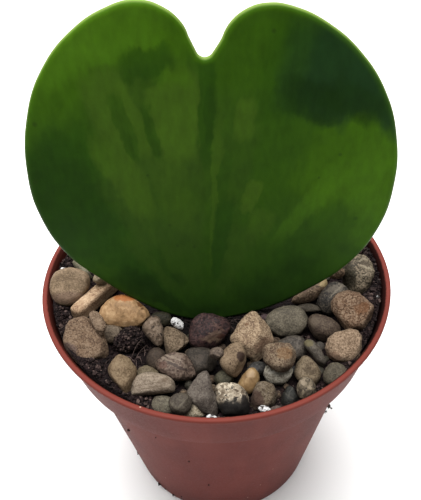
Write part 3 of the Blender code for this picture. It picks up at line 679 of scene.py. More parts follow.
def moulded_polypropylene():
    """Terracotta-coloured polypropylene, injection moulded: matt, with a faint sheen.

    Its colour drifts in faint upright flow lines, dust dulls it in patches, and the top of the
    rim is painted lighter and redder as a painted highlight. Inside, its wall is painted dark as
    painted shade, darker towards its right-hand side, and a few pale specks of grit stick to it.
    """
    finish, add, shader, place = new_material("moulded_polypropylene")
    parts = add("SeparateXYZ", (place,))
    upright = add("VectorMath", (place, (1, 1, 0.12)), operation="MULTIPLY")
    flow = add("TexNoise", {"Vector": upright, "Scale": 1 / 5.0, "Detail": 5})
    cloud = add("TexNoise", {"Vector": place, "Scale": 1 / 14.0, "Detail": 4})
    fine = add("TexNoise", {"Vector": place, "Scale": 1 / 0.5, "Detail": 3})
    drift = add("Math", (flow, cloud), operation="ADD")
    colour = tinged(add, hexed("#58241e"), "#662c25", drift, 0.75, 1.25)
    dust = add("Math", (fine, cloud), operation="MULTIPLY")
    colour = tinged(add, colour, "#744a3f", dust, 0.26, 0.42, 0.14)
    # Painted highlight: the top of the lip, from 75.4 mm up, is painted lighter and redder.
    colour = tinged(add, colour, "#6c322a", parts.outputs[2], 75.4, 76.2)
    # Painted shade: the inside of the wall, below the lip and facing inward, is painted dark.
    flat = add("VectorMath", (place, (1, 1, 0)), operation="MULTIPLY")
    reach = add("VectorMath", (flat,), operation="LENGTH")
    ragged = add("Math", (fine, 0.5, reach), operation="MULTIPLY_ADD")
    inside_wall_mask = add("MapRange", (ragged, 44.15, 43.85))
    outward = add("TexCoord").outputs["Normal"]
    outward = add("VectorMath", (outward, flat), operation="DOT_PRODUCT")
    inner = add("MapRange", (outward, 12.0, 0.0, 0, 0.92))
    stain = add("Math", (inside_wall_mask, inner), operation="MULTIPLY")
    # The painted shade runs from dark maroon on the left to nearly black on the right.
    damp = add("MapRange", (parts, -25, 5))
    damp = add("Mix", {0: damp, 6: hexed("#33150f"), 7: hexed("#140a09")}, data_type="RGBA")
    colour = add("Mix", {0: stain, 6: colour, 7: damp}, data_type="RGBA")
    specks = add("TexVoronoi", {"Vector": place, "Scale": 1 / 3.5})
    share = add("SeparateColor", (specks.outputs["Color"],))
    chosen = add("MapRange", (share, 0.90, 0.91))
    dot = add("MapRange", (specks.outputs["Distance"], 0.07, 0.05))
    speck = add("Math", (chosen, dot), operation="MULTIPLY")
    colour = add("Mix", {0: speck, 6: colour, 7: hexed("#a98a78")}, data_type="RGBA")
    rough = add("MapRange", (fine, 0.3, 0.7, 0.48, 0.62))
    height = add("Math", (fine, flow), operation="ADD")
    bump = add("Bump", {"Height": height, "Distance": 0.03 * MM, "Strength": 0.6})
    fill(shader, {
        "Base Color": colour, "Roughness": rough, "Normal": bump,
        "IOR": 1.49, "Specular IOR Level": 0.08})
    return finish


def make_pot():
    """The moulded shell with its small lip, soft corners and drilled base.

    Its corners are (radius, height, rounding), from the middle of the floor inside, over the
    rim, to the middle of the base underneath.
    """
    plate = BASE_LIFT + BASE_PLATE
    step = POT_HEIGHT - COLLAR_HEIGHT
    lip_foot = POT_HEIGHT - LIP_HEIGHT
    corners = (
        (0, plate, 0),
        (body_radius(plate) - WALL, plate, 0.8),
        (body_radius(step) - WALL, step + WALL, 0.5),
        (COLLAR_FOOT_RADIUS - WALL, step + WALL, 0.5),
        (COLLAR_TOP_RADIUS - WALL, lip_foot, 0.2),
        (RIM_RADIUS - LIP_WIDTH, POT_HEIGHT, 0.55),
        (RIM_RADIUS, POT_HEIGHT, 0.55),
        (RIM_RADIUS, lip_foot + 0.05, 0.45),
        (COLLAR_TOP_RADIUS, lip_foot - 0.05, 0.15),
        (COLLAR_FOOT_RADIUS, step + 0.1, 0.25),
        (body_radius(step), step, 0.3),
        (BODY_FOOT_RADIUS, 0.0, 0.9),
        (BODY_FOOT_RADIUS - FOOT_RING_WIDTH, 0, 0.4),
        (BODY_FOOT_RADIUS - FOOT_RING_WIDTH, BASE_LIFT, 0.4),
        (0, BASE_LIFT, 0),
    )
    profile = spread(rounded_profile(corners), 4.0)
    points, faces = lathe(profile, POT_STEPS)
    wave = np.array([noise.noise(Vector((x, y, z * 0.3)) / 18.0) for x, y, z in points])
    reach = np.hypot(points[:, 0], points[:, 1])
    loose = progress(points[:, 2], 6, 26) * (reach > 5) * OUT_OF_ROUND
    scale = 1 - np.maximum(wave + 0.4, 0) * loose / np.maximum(reach, 1)
    points[:, :2] *= scale[:, None]
    mesh = mesh_from("pot_shell", points * MM, faces)
    pot = new_object("pot_shell", mesh, moulded_polypropylene())
    drill = bmesh.new()
    for i in range(DRAIN_HOLES):
        turn = 2 * math.pi * i / DRAIN_HOLES
        spot = Vector((math.cos(turn), math.sin(turn), 0)) * DRAIN_CIRCLE_RADIUS * MM
        place = Matrix.Translation(spot + Vector((0, 0, (BASE_LIFT + BASE_PLATE / 2) * MM)))
        bmesh.ops.create_cone(
            drill, cap_ends=True, segments=40, radius1=DRAIN_RADIUS * MM, radius2=DRAIN_RADIUS * MM,
            depth=4 * BASE_PLATE * MM, matrix=place)
    holes = bpy.data.meshes.new("drain_holes")
    drill.to_mesh(holes)
    drill.free()
    cut(pot, new_object("drain_holes", holes))
    pot.data.set_sharp_from_angle(angle=math.radians(40))
    settle_piece(pot, "pot_plastic", "pot")


def cut(thing, tool):
    """Cut a tool out of a thing, leave the result as the thing's own mesh, and remove the tool."""
    boolean = thing.modifiers.new("cut", "BOOLEAN")
    boolean.operation = "DIFFERENCE"
    boolean.solver = "MANIFOLD"
    boolean.object = tool
    bpy.context.view_layer.update()
    evaluated = thing.evaluated_get(bpy.context.evaluated_depsgraph_get())
    mesh = bpy.data.meshes.new_from_object(evaluated)
    thing.modifiers.clear()
    thing.data = mesh
    bpy.data.objects.remove(tool)


# ---------------------------------------------------------------- potting mix

MIX_LEVEL = 71.2     # the top of its dome
MIX_FALL = 0.8       # from there to the wall
MIX_LIMIT = 76.2     # the most that it is banked up to
STALK_DIP = 1.6      # round the foot of the leaf
LUMPS_APART = 4.5
CRUMBS_APART = 1.3
MIX_REACH = 42.4     # where it meets the wall
MIX_GAP = 0.3        # between it and the shell, out of sight
MIX_STEPS = 480
NEAR_WALL = 38.5     # from here out the crumbs lie thickest
CRUMB_SIZES = (0.35, 0.4, 0.5, 0.6, 0.8, 1.2)
CRUMB_TINTS = (0, 0, 0, 0, 0, 0.1, 0.2, 0.5)
THREAD_SIDES = 5
PEBBLE_FLATS = 9

# Where the mix is banked higher: (direction, how far it spreads to each side), in degrees
# counted from the pot's right-hand side.
FRONT_LEFT = (-132, 30)
LEFT_SHELF = (-126, 20)
LEFT = (-168, 28)
RIGHT = (-10, 55)

# The small stones in the gaps: how far out their middles lie in front and behind, the wall that
# they stay inside, the room that one needs, where the part behind the leaf starts, their sizes
# in front and there, and their widths, depths and heights as shares of the size.
MULCH_REACH = 37.5
REAR_REACH = 40.5
INSIDE_WALL = 42
LEAST_ROOM = 0.8
BEHIND_LEAF = 3.0
FRONT_SIZES = (2.2, 3.6)
REAR_SIZES = (3.4, 7.0)
INFILL_SHAPE = ((0.75, 1.1), (0.75, 1.1), (0.55, 0.8))

DOWN = Vector((0, 0, -1))
ABOVE_LEAF = 160
ABOVE_POT = 90


def eased(value, start, end):
    """The same progress, eased at both its ends."""
    part = progress(value, start, end)
    return part * part * (3 - 2 * part)


def beside(side, middle, spread):
    """How near a direction is to a middle one, from 0 at the spread's ends to 1 (degrees)."""
    return max(0.0, 1 - abs((side - middle + 180) % 360 - 180) / spread)


def bank(x, y):
    """How far the mix is banked up towards the wall: most at the two sides and the front left."""
    reach = math.hypot(x, y)
    side = math.degrees(math.atan2(y, x))
    sideways = (x / max(reach, 1)) ** 2
    front_left = beside(side, *FRONT_LEFT)
    rise = (0.8 + 1.6 * sideways + 2.4 * front_left) * eased(reach, 31 - 5 * front_left, 41)
    heap = 0.6 + 1.8 * sideways + 1.8 * beside(side, *RIGHT) + 1.2 * beside(side, *LEFT)
    heap *= progress(reach, 37.5, 42.5) ** 2
    return rise + heap + 2.0 * beside(side, *LEFT_SHELF) * eased(reach, 37.8, 40.2)


def mix_height(x, y):
    """The height of the potting mix's surface: a low dome, banked at the wall, and lumpy."""
    dome = MIX_LEVEL - MIX_FALL * (math.hypot(x, y) / 41) ** 2
    dip = STALK_DIP * math.exp(-((x + 1.5) / 11) ** 2 - ((y + 10) / 5) ** 2)
    lumps = noise.fractal(Vector((x, y, 3)) / LUMPS_APART, 1.0, 2.1, 4)
    crumbs = noise.fractal(Vector((x, y, 9)) / CRUMBS_APART, 0.8, 2.0, 3)
    return min(dome + bank(x, y), MIX_LIMIT) - dip + 0.55 * lumps + 0.45 * crumbs


def moist_peat():
    """Milled sphagnum peat, moist: nearly black, fibrous, with lighter crumbs and threads.

    Nearer than 26 mm to the foot of the leaf it is painted darker, as painted shade under the leaf.
    """
    finish, add, shader, place = new_material("moist_peat")
    clump = add("TexNoise", {"Vector": place, "Scale": 1 / 2.0, "Detail": 6, "Roughness": 0.7})
    crumb = add("TexVoronoi", {"Vector": place, "Scale": 1 / 0.6})
    thread = add("TexNoise", {
        "Vector": place, "Scale": 1 / 0.8, "Detail": 4, "Distortion": 3.0, "Roughness": 0.7})
    colour = tinged(add, hexed("#090506"), "#211314", clump, 0.38, 0.66)
    colour = tinged(add, colour, "#523d36", thread, 0.56, 0.70, 0.8)
    tint = add("Attribute", attribute_name="tint").outputs["Fac"]
    colour = add("Mix", {0: tint, 6: colour, 7: hexed("#75615a")}, data_type="RGBA")
    # Painted shade: the mix darkens towards black near a point at the leaf's foot, where the leaf
    # shades it.
    stalk = add("VectorMath", (place, (LEAF_BASE[0], -13, 74)), operation="DISTANCE")
    colour = tinged(add, colour, "#060404", stalk, 26, 12, 0.7)
    height = add("Math", (clump, crumb.outputs["Distance"]), operation="SUBTRACT")
    bump = add("Bump", {"Height": height, "Distance": 0.6 * MM})
    fill(shader, {
        "Base Color": colour, "Roughness": 0.85, "Normal": bump, "Specular IOR Level": 0.2})
    return finish


def make_soil(finish):
    """The filling of the pot, with its open surface laid as clods and crumbs."""
    bottom = BASE_LIFT + BASE_PLATE + MIX_GAP
    step = POT_HEIGHT - COLLAR_HEIGHT + WALL + MIX_GAP
    rings = (*np.linspace(0, 24, 34), *np.linspace(24.5, MIX_REACH, 64))
    surface = [Vector((r, MIX_LEVEL)) for r in rings]
    side = [
        Vector((41.6, 70)),
        Vector((COLLAR_FOOT_RADIUS - WALL - MIX_GAP, step)),
        Vector((body_radius(step) - WALL - 2 * MIX_GAP, step)),
        Vector((body_radius(bottom) - WALL - MIX_GAP, bottom)),
        Vector((0, bottom)),
    ]
    points, faces = lathe(surface + side, MIX_STEPS)
    top = points[:, 2] > 70.5
    points[top, 2] = [mix_height(x, y) for x, y in points[top, :2]]
    mesh = mesh_from("potting_mix", points * MM, [face[::-1] for face in faces])
    soil = new_object("potting_mix", mesh, finish)
    settle_piece(soil, "potting_mix", "soil")
    return soil


def lump(centre, size, draw):
    """Points and faces of one small uneven lump."""
    ways, faces, edges = BALLS[1]
    stretch = np.array([draw.uniform(0.6, 1.3) for _ in range(3)])
    swell = np.array([draw.uniform(0.7, 1.2) for _ in range(len(ways))])
    return ways * swell[:, None] * stretch * size / 2 + centre, faces


def thread(path, radius):
    """Points and faces of a thin closed thread along a path."""
    points = []
    for i, place in enumerate(path):
        way = (path[min(i + 1, len(path) - 1)] - path[max(i - 1, 0)]).normalized()
        across = way.cross(Vector((0.1, 0.2, 1))).normalized()
        up = across.cross(way)
        thin = radius * (0.4 if i in (0, len(path) - 1) else 1)
        for k in range(THREAD_SIDES):
            a = 2 * math.pi * k / THREAD_SIDES
            points.append(place + (across * math.cos(a) + up * math.sin(a)) * thin)
    return np.array(points), tube_faces(len(path), THREAD_SIDES, turned=True)


def gathered(name, bits, finish, slot, replaced=()):
    """One piece from many small closed bits: (points, faces, tint)."""
    points, faces, tints = [], [], []
    for bit_points, bit_faces, tint in bits:
        faces += [[v + len(points) for v in face] for face in bit_faces]
        points += [tuple(p) for p in bit_points]
        tints += [tint] * len(bit_points)
    mesh = mesh_from(name, np.array(points) * MM, faces, smooth=False)
    shade = mesh.attributes.new("tint", "FLOAT", "POINT")
    shade.data.foreach_set("value", np.array(tints, dtype=np.float32))
    piece = new_object(name, mesh, finish)
    settle_piece(piece, slot, *replaced)
    bpy.context.view_layer.update()
    return piece


def surface_tree(things):
    """A search tree over the things' surfaces, in millimetres."""
    points, faces = [], []
    for thing in things:
        start = len(points)
        points += [thing.matrix_world @ vertex.co / MM for vertex in thing.data.vertices]
        faces += [[v + start for v in face.vertices] for face in thing.data.polygons]
    return BVHTree.FromPolygons(points, faces)


def open_ground(solids, soil_tree, draw, reach=MIX_REACH, nearest=0):
    """A random place on the mix that nothing lies over, and how far it is from anything."""
    while True:
        turn, far = draw.uniform(0, 2 * math.pi), math.sqrt(draw.uniform(nearest ** 2, reach ** 2))
        above = Vector((far * math.cos(turn), far * math.sin(turn), ABOVE_LEAF))
        place = soil_tree.ray_cast(above, DOWN)[0]
        if place is not None and solids.ray_cast(above, DOWN)[0] is None:
            return place, solids.find_nearest(place)[3]


def settled(points, faces, tree, start=8.0, step=0.15):
    """Lower a lump from above until it rests on what the tree holds."""
    points = points + (0, 0, start)
    for _ in range(round(2 * start / step)):
        lower = points - (0, 0, step)
        if BVHTree.FromPolygons([Vector(p) for p in lower], faces).overlap(tree):
            break
        points = lower
    return points


def pebble(size, draw, angular=0.4, divisions=3):
    """Points and faces of a small worn stone of a size (across, deep, high)."""
    ways, faces, edges = BALLS[divisions]
    points = ways * np.array(size) / 2
    for _ in range(PEBBLE_FLATS):
        way = np.array([draw.gauss(0, 1) for _ in range(3)])
        way /= np.linalg.norm(way)
        height = points @ way
        limit = height.max() * (1 - draw.uniform(0.03, 0.1 + 0.2 * angular))
        points = points - np.outer(np.maximum(height - limit, 0) * 0.9, way)
    longest = max(size)
    waves = ((longest * 0.4, 0.03 * longest),)
    return roughened(points, longest / 2, waves, draw.randrange(999)), faces


def left_bare(place, rear):
    """Whether the small stones leave a place bare: round the stalk, and at the open sides."""
    x, y = place[:2]
    if rear:
        return y < (14 if abs(x) > 28 else BEHIND_LEAF)
    return -18 < y < 0 or x < -17 and -34 < y < -8 or x < -32 or x > 37


def make_infill(soil, others):
    """The small stones that lie on the mix in the gaps of the mulch."""
    draw = random.Random(11)
    ground, solids = surface_tree([soil]), surface_tree(others)
    bits = {slot: [] for slot in INFILL_LOOKS}
    placed = []
    for number in range(INFILL_TRIES + REAR_TRIES):
        rear = number >= INFILL_TRIES
        place, room = open_ground(solids, ground, draw, REAR_REACH if rear else MULCH_REACH)
        gaps = [math.dist(place, other) - radius for other, radius in placed]
        room = min([room, INSIDE_WALL - math.hypot(*place[:2])] + gaps)
        if left_bare(place, rear) or room < LEAST_ROOM:
            continue
        limits = REAR_SIZES if place.y > BEHIND_LEAF else FRONT_SIZES
        size = min(draw.uniform(*limits), 1.9 * room)
        shape = [size * draw.uniform(*part) for part in INFILL_SHAPE]
        points, faces = pebble(shape, draw)
        slot = draw.choice(sorted(bits))
        lifted = points + np.array(place) + (0, 0, 0.35 * shape[2])
        bits[slot].append((lifted, faces, draw.random()))
        placed.append((place, size / 2))
    pieces = []
    for slot, look in INFILL_LOOKS.items():
        name = "infill_" + slot.removeprefix("gravel_")
        pieces.append(gathered(name, bits[slot], water_worn_stone(name, *look), slot))
    return pieces


def make_extras(soil, others):
    """Single small things among the gravel: slips of stone, and grains of puffed perlite."""
    made = []
    for name, look, size, place, turns in EXTRAS:
        draw = random.Random(name)
        points, faces = pebble(size, draw, 0.6, 4 if max(size) > 4 else 3)
        first, second = (math.radians(turn) for turn in turns)
        turned = Matrix.Rotation(first, 3, "X") @ Matrix.Rotation(second, 3, "Z")
        points = points @ np.array(turned).T + np.array(place)
        points = settled(points, faces, surface_tree([soil, *others, *made]))
        if look == "perlite":
            made.append(gathered(name, [(points, faces, 0)], perlite(name), "potting_mix"))
            continue
        slot, *looks = look
        centre = points.mean(0)
        mesh = mesh_from(name, (points - centre) * MM, faces)
        thing = new_object(name, mesh, water_worn_stone(name, *looks))
        thing.location = centre * MM
        settle_piece(thing, slot)
        bpy.context.view_layer.update()
        made.append(thing)
    return made


def perlite(grain):
    """Perlite: volcanic glass puffed by heat, chalk white, full of tiny bubbles, partly soiled."""
    clean = 0.06 if grain == "perlite_left" else 0.0
    finish, add, shader, place = new_material("puffed_" + grain)
    cells = add("TexVoronoi", {"Vector": place, "Scale": 1 / 0.35})
    stain = add("TexNoise", {"Vector": place, "Scale": 1 / 0.9, "Detail": 3})
    colour = tinged(add, hexed("#cfcdcb"), "#332d2a", stain, 0.47 + clean, 0.57 + clean)
    bump = add("Bump", {"Height": cells.outputs["Distance"], "Distance": 0.25 * MM})
    fill(shader, {"Base Color": colour, "Roughness": 0.8, "Normal": bump})
    return finish


def make_clod(peat):
    """The lump of peat that lies among the stones, crumbs and long grey threads clinging to it."""
    mesh, matrix = worn_stone("peat_clod", 0.0, 0.35, 4, FACE_LEAN)
    draw = random.Random(3)
    points = np.array([matrix @ vertex.co / MM for vertex in mesh.vertices])
    faces = [list(face.vertices) for face in mesh.polygons]
    bpy.data.meshes.remove(mesh)
    middle = points.mean(0)
    bits = [(middle + (points - middle) * 0.93, faces, 0)]
    for _ in range(CLOD_CRUMBS):
        place = middle + (draw.choice(points) - middle) * draw.uniform(0.9, 1.0)
        size = draw.choice((0.35, 0.5, 0.6, 0.9))
        bits.append((*lump(place, size, draw), draw.choice((0, 0, 0.1, 0.2, 0.3, 0.6))))
    for start, end in CLOD_THREADS:
        path = []
        for i in range(9):
            arch = 1.2 * math.sin(math.pi * i / 8)
            path.append(Vector(start).lerp(Vector(end), i / 8) + Vector((0, 0, arch)))
        bits.append((*thread(path, 0.07), 0.5))
    return gathered("peat_clod_crumbs", bits, peat, "potting_mix", ("peat_clod",))


def make_litter(peat, soil, others):
    """Loose crumbs and threads of peat on the mix, wherever the gravel leaves it open."""
    draw = random.Random(7)
    soil_tree, solids = surface_tree([soil]), surface_tree(others)
    crumbs = []
    while len(crumbs) < LITTER_CRUMBS:
        nearest = 0 if len(crumbs) % 4 else NEAR_WALL
        place, room = open_ground(solids, soil_tree, draw, nearest=nearest)
        wall = collar_inside(place.z) - 0.1 - math.hypot(*place[:2])
        size = min(draw.choice(CRUMB_SIZES), 1.5 * room, 2 * wall)
        if size > 0.3:
            tint = draw.choice(CRUMB_TINTS)
            crumbs.append((*lump(np.array(place) + (0, 0, 0.25 * size), size, draw), tint))
    gathered("peat_crumbs", crumbs, peat, "potting_mix")
    threads = []
    while len(threads) < LITTER_THREADS:
        place, room = open_ground(solids, soil_tree, draw)
        length = min(draw.uniform(2, 6), 1.8 * room)
        if length < 1.5 or math.hypot(*place[:2]) > NEAR_WALL:
            continue
        turn, bend = draw.uniform(0, 2 * math.pi), draw.uniform(-0.6, 0.6)
        path = []
        for i in range(6):
            t = i / 5 - 0.5
            a = turn + bend * t
            x, y = place.x + length * t * math.cos(a), place.y + length * t * math.sin(a)
            ground = soil_tree.ray_cast(Vector((x, y, ABOVE_POT)), DOWN)[0]
            path.append(Vector((x, y, ground.z + 0.15 + 0.5 * math.sin(math.pi * i / 5))))
        threads.append((*thread(path, draw.uniform(0.07, 0.14)), draw.choice((0.3, 0.7, 1.0))))
    gathered("peat_threads", threads, peat, "potting_mix")


def make_stuck_crumbs(peat):
    """The few crumbs of damp mix that cling to the outside of the pot."""
    draw = random.Random(5)
    bits = []
    for turn, height, size in STUCK_CRUMBS:
        reach, turn = body_radius(height) + 0.15 * size, math.radians(turn)
        place = np.array((reach * math.cos(turn), reach * math.sin(turn), height))
        bits.append((*lump(place, size, draw), draw.choice((0, 0.1, 0.3))))
        for _ in range(4):
            near = place + [draw.uniform(-0.6, 0.6) * size for _ in range(3)]
            bits.append((*lump(near, 0.45 * size, draw), 0.1))
    gathered("crumbs_on_pot", bits, peat, "potting_mix")


# ---------------------------------------------------------------- leaf

# The greens of the leaf. Its chlorophyll lies in layers of uneven depth, hence most patches; some
# streaks are painted light and shade.
INKS = {
    "leaf": "#2c4b09",
    "olive": "#304a10",
    "pale": "#3d5913",
    "bright": "#395b09",
    "lime": "#4d7516",
    "dark": "#224107",
    "deep": "#193316",
    "shade": "#132b05",
}

# The leaf's patches run in streaks that fan out from the stalk, so each has a span of
# directions (degrees right of upright) and of distances from the stalk (mm), then its ink, how
# strongly it covers and how soft its edges are (as a share of its size). Lower coats come first.
STREAKS = (
    # Painted light: these bright and lime streaks on the upper left lobe are a painted glow of
    # light shining through it.
    (-32, -2, 64, 88, "bright", 0.6, 0.5),
    (-27, -15, 70, 80, "lime", 0.3, 0.7),
    (-20, -5, 71, 86, "lime", 0.4, 0.6),
    (-58, -23, 34, 62, "dark", 0.85, 0.3),
    (-54, -30, 38, 60, "shade", 0.45, 0.6),
    (-21, 1, 42, 69, "olive", 0.85, 0.2),
    (-29, 1, 24, 50, "olive", 0.8, 0.3),
    (-38, -4, 13, 32, "olive", 0.6, 0.4),
    (-25.5, -16.5, 36, 57, "pale", 0.65, 0.35),
    (-20.5, -13, 56, 69, "pale", 0.6, 0.4),
    (-15, -11.5, 49, 66, "pale", 0.6, 0.3),
    (-9.3, 0, 47, 66.5, "pale", 0.8, 0.3),
    (-14, -4, 30, 47, "pale", 0.3, 0.5),
    (-7, -1, 63, 74, "bright", 0.5, 0.4),
    (-17.2, -13.9, 49.5, 64, "dark", 0.55, 0.35),
    (-11.7, -9.0, 48, 60.5, "dark", 0.55, 0.35),
    (-12, -3.6, 66, 71.5, "dark", 0.65, 0.4),
    (-9.5, -5.5, 63.5, 68, "dark", 0.5, 0.4),
    (-50, -37, 16, 40, "dark", 0.8, 0.5),
    (-60, -42, 6, 26, "shade", 0.65, 0.5),
    (-30, -25, 14, 27, "dark", 0.45, 0.5),
    (-28, -20, 13.5, 17.5, "shade", 0.4, 0.7),
    (2, 14, 32, 62, "olive", 0.45, 0.35),
    (4, 14, 62, 82, "bright", 0.2, 0.4),
    (8, 12.2, 52, 60, "pale", 0.7, 0.5),
    (0.4, 3.6, 45, 68, "dark", 0.6, 0.3),
    (1.8, 4.2, 50, 62, "shade", 0.3, 0.5),
    (3.4, 5.6, 18, 55, "pale", 0.45, 0.4),
    (5.8, 8.6, 35, 48, "dark", 0.35, 0.4),
    (14.6, 19.8, 34.5, 42.5, "pale", 0.8, 0.35),
    (19, 29, 27, 35.5, "pale", 0.5, 0.5),
    (27, 66, 42, 66, "bright", 0.75, 0.35),
    (38, 56, 48, 64, "lime", 0.28, 0.7),
    (12, 21, 58, 77, "dark", 0.45, 0.6),
    # The deep patch at the upper right is partly the leaf's own dark green and partly a painted
    # reflection in its waxy skin.
    (15, 28, 60.5, 79, "deep", 0.55, 0.5),
    (19, 31, 61, 83, "deep", 0.85, 0.35),
    (26, 50, 65.5, 90, "deep", 0.9, 0.25),
    (17, 28, 59.5, 67, "shade", 0.6, 0.5),
    (24, 35, 63, 70, "shade", 0.55, 0.5),
    (33, 38.5, 28, 51, "lime", 0.26, 0.6),
    (40, 53, 28, 46, "leaf", 0.75, 0.35),
    (36, 75, 12, 33, "dark", 0.6, 0.5),
    (48, 58, 24.5, 31.5, "shade", 0.35, 0.6),
    (48, 75, 6, 20, "shade", 0.35, 0.6),
    (12, 28, 9, 30, "olive", 0.6, 0.4),
    (26, 40, 16, 29, "leaf", 0.6, 0.5),
    (29, 46, 10.5, 14.5, "shade", 0.2, 0.8),
    (5.0, 13.0, 15, 36, "dark", 0.85, 0.3),
    # Painted shade: the bottom of the blade, round the stalk, is darkened where the stones and mix
    # shade it.
    (-75, 75, -4, 9, "dark", 0.5, 0.6),
    (-60, 60, -4, 5, "shade", 0.5, 0.6),
)

# Small corky specks on the leaf: (across, up, radius in mm).
SPECKS = (
    (14.6, 70.2, 0.45), (-7.2, 21.3, 0.35), (-8.6, 27.2, 0.3), (-3.3, 20.8, 0.4),
    (34.4, 26.6, 0.5), (-12.5, 40.4, 0.3), (25.2, 37.8, 0.3), (-34.6, 53.4, 0.5),
    (-37.2, 39.9, 0.6), (29.5, 43.2, 0.4),
)


def leaf_matrix():
    """Where the leaf's plane lies: upright at its base, leaning back."""
    lean = Matrix.Rotation(math.radians(90 - LEAF_LEAN), 4, "X")
    return Matrix.Translation(Vector(LEAF_BASE) * MM) @ lean


def leaf_outline():
    """The heart's outline in the leaf's plane, from a ring on the edge of its solid, smoothed."""
    inverse = leaf_matrix().inverted()
    ring = [inverse @ vertex.co / MM for vertex in nodes["leaf"].data.vertices]
    ring = [(x, y) for x, y, z in ring if abs(z - EDGE_RING) < 0.03 and y > -4]
    cx, cy = HEART_MIDDLE
    ring = sorted(ring, key=lambda p: math.atan2(p[1] - cy, p[0] - cx))
    points = np.array([p for p, q in zip(ring, ring[1:] + ring[:1]) if math.dist(p, q) > 0.7])
    before, after, beyond = (np.roll(points, k, 0) for k in (1, -1, -2))
    curve = []
    for t in np.arange(LEAF_STEPS) / LEAF_STEPS:
        bend = (2 * before - 5 * points + 4 * after - beyond) * t ** 2
        twist = (3 * points - before - 3 * after + beyond) * t ** 3
        curve.append(0.5 * (2 * points + (after - before) * t + bend + twist))
    return np.stack(curve, 1).reshape(-1, 2)


def from_margin(points, outline):
    """How far each point lies from the outline."""
    start, end = outline, np.roll(outline, -1, 0)
    along = end - start
    nearest = np.full(len(points), 1e9)
    for a, way in zip(start, along):
        t = np.clip((points - a) @ way / max(way @ way, 1e-9), 0, 1)
        nearest = np.minimum(nearest, np.linalg.norm(points - a - t[:, None] * way, axis=1))
    return nearest


def make_leaf():
    """The thick heart-shaped leaf and its stalk, which grew as one piece."""
    outline = leaf_outline()
    count = len(outline)
    middle = np.array(HEART_MIDDLE)
    shares = 1 - np.concatenate([[0], np.geomspace(0.002, 0.98, LEAF_RINGS)])
    flat = np.concatenate([middle + (outline - middle) * share for share in shares] + [[middle]])
    margin = from_margin(flat, outline)
    margin[:count] = 0
    inward = np.clip(1 - margin / LEAF_ROUNDING, 0, 1)
    fuller = (LEAF_THICKNESS / 2 - MARGIN_HALF) * (1 - np.exp(-margin / THICKENING))
    half = MARGIN_HALF * np.sqrt(1 - inward ** 2) + fuller
    x, y = flat.T
    rise = progress(y, 6, 20) * progress(margin, 0, THICKENING)
    swell = np.array([noise.noise(Vector((a / 17, b / 26, 4))) for a, b in flat])
    ripple = np.array([noise.noise(Vector((a / 5, b / 9, 8))) for a, b in flat])
    midrib = 1.0 + 0.5 * (y / 65)
    groove = np.exp(-((x - midrib) / 1.3) ** 2) * progress(y, 0, 12) * progress(y, 66, 56)
    # Depths in millimetres: broad dents and fine ripples in front, the groove over the midrib,
    # and broad dents in the back where the front has none.
    dents = 0.30 * progress(swell, -0.5, 0.5) + 0.07 * progress(ripple, -0.5, 0.5)
    front = half - rise * dents - 0.22 * groove
    back = -half + rise * 0.25 * progress(swell, 0.5, -0.5)
    points = np.concatenate([np.column_stack([flat, front]), np.column_stack([flat, back])[count:]])
    last = len(flat) - 1
    shift = len(flat) - count
    faces = ring_faces(len(shares), count, turned=True)
    for j in range(count):
        faces.append((last - count + j, last - count + (j + 1) % count, last))
    faces += [tuple(v if v < count else v + shift for v in face[::-1]) for face in faces]
    root = stalk()
    faces += [[v + len(points) for v in face] for face in root[1]]
    points = np.concatenate([points, root[0]])
    mesh = mesh_from("hoya_leaf", points * MM, faces)
    depth = mesh.attributes.new("margin", "FLOAT", "POINT")
    margin = np.concatenate([margin, margin[count:], np.full(len(root[0]), 5)])
    depth.data.foreach_set("value", margin.astype(np.float32))
    leaf = new_object("hoya_leaf", mesh, hoya_flesh())
    leaf.matrix_world = leaf_matrix()
    settle_piece(leaf, "leaf_flesh", "leaf")
    bpy.context.view_layer.update()
    return leaf


def stalk():
    """Points and faces, in the leaf's plane, of the round stalk from inside the blade down."""
    inverse = leaf_matrix().inverted()
    turns = np.linspace(0, 2 * math.pi, STALK_SIDES, endpoint=False)
    points = []
    for i, place in enumerate(STALK_PATH):
        deep = STALK_RADIUS if i else STALK_TOP_HALF
        for a in turns:
            point = Vector(place) + Vector((math.cos(a) * STALK_RADIUS, math.sin(a) * deep, 0))
            points.append(inverse @ (point * MM) / MM)
    return np.array(points), tube_faces(len(STALK_PATH), STALK_SIDES)


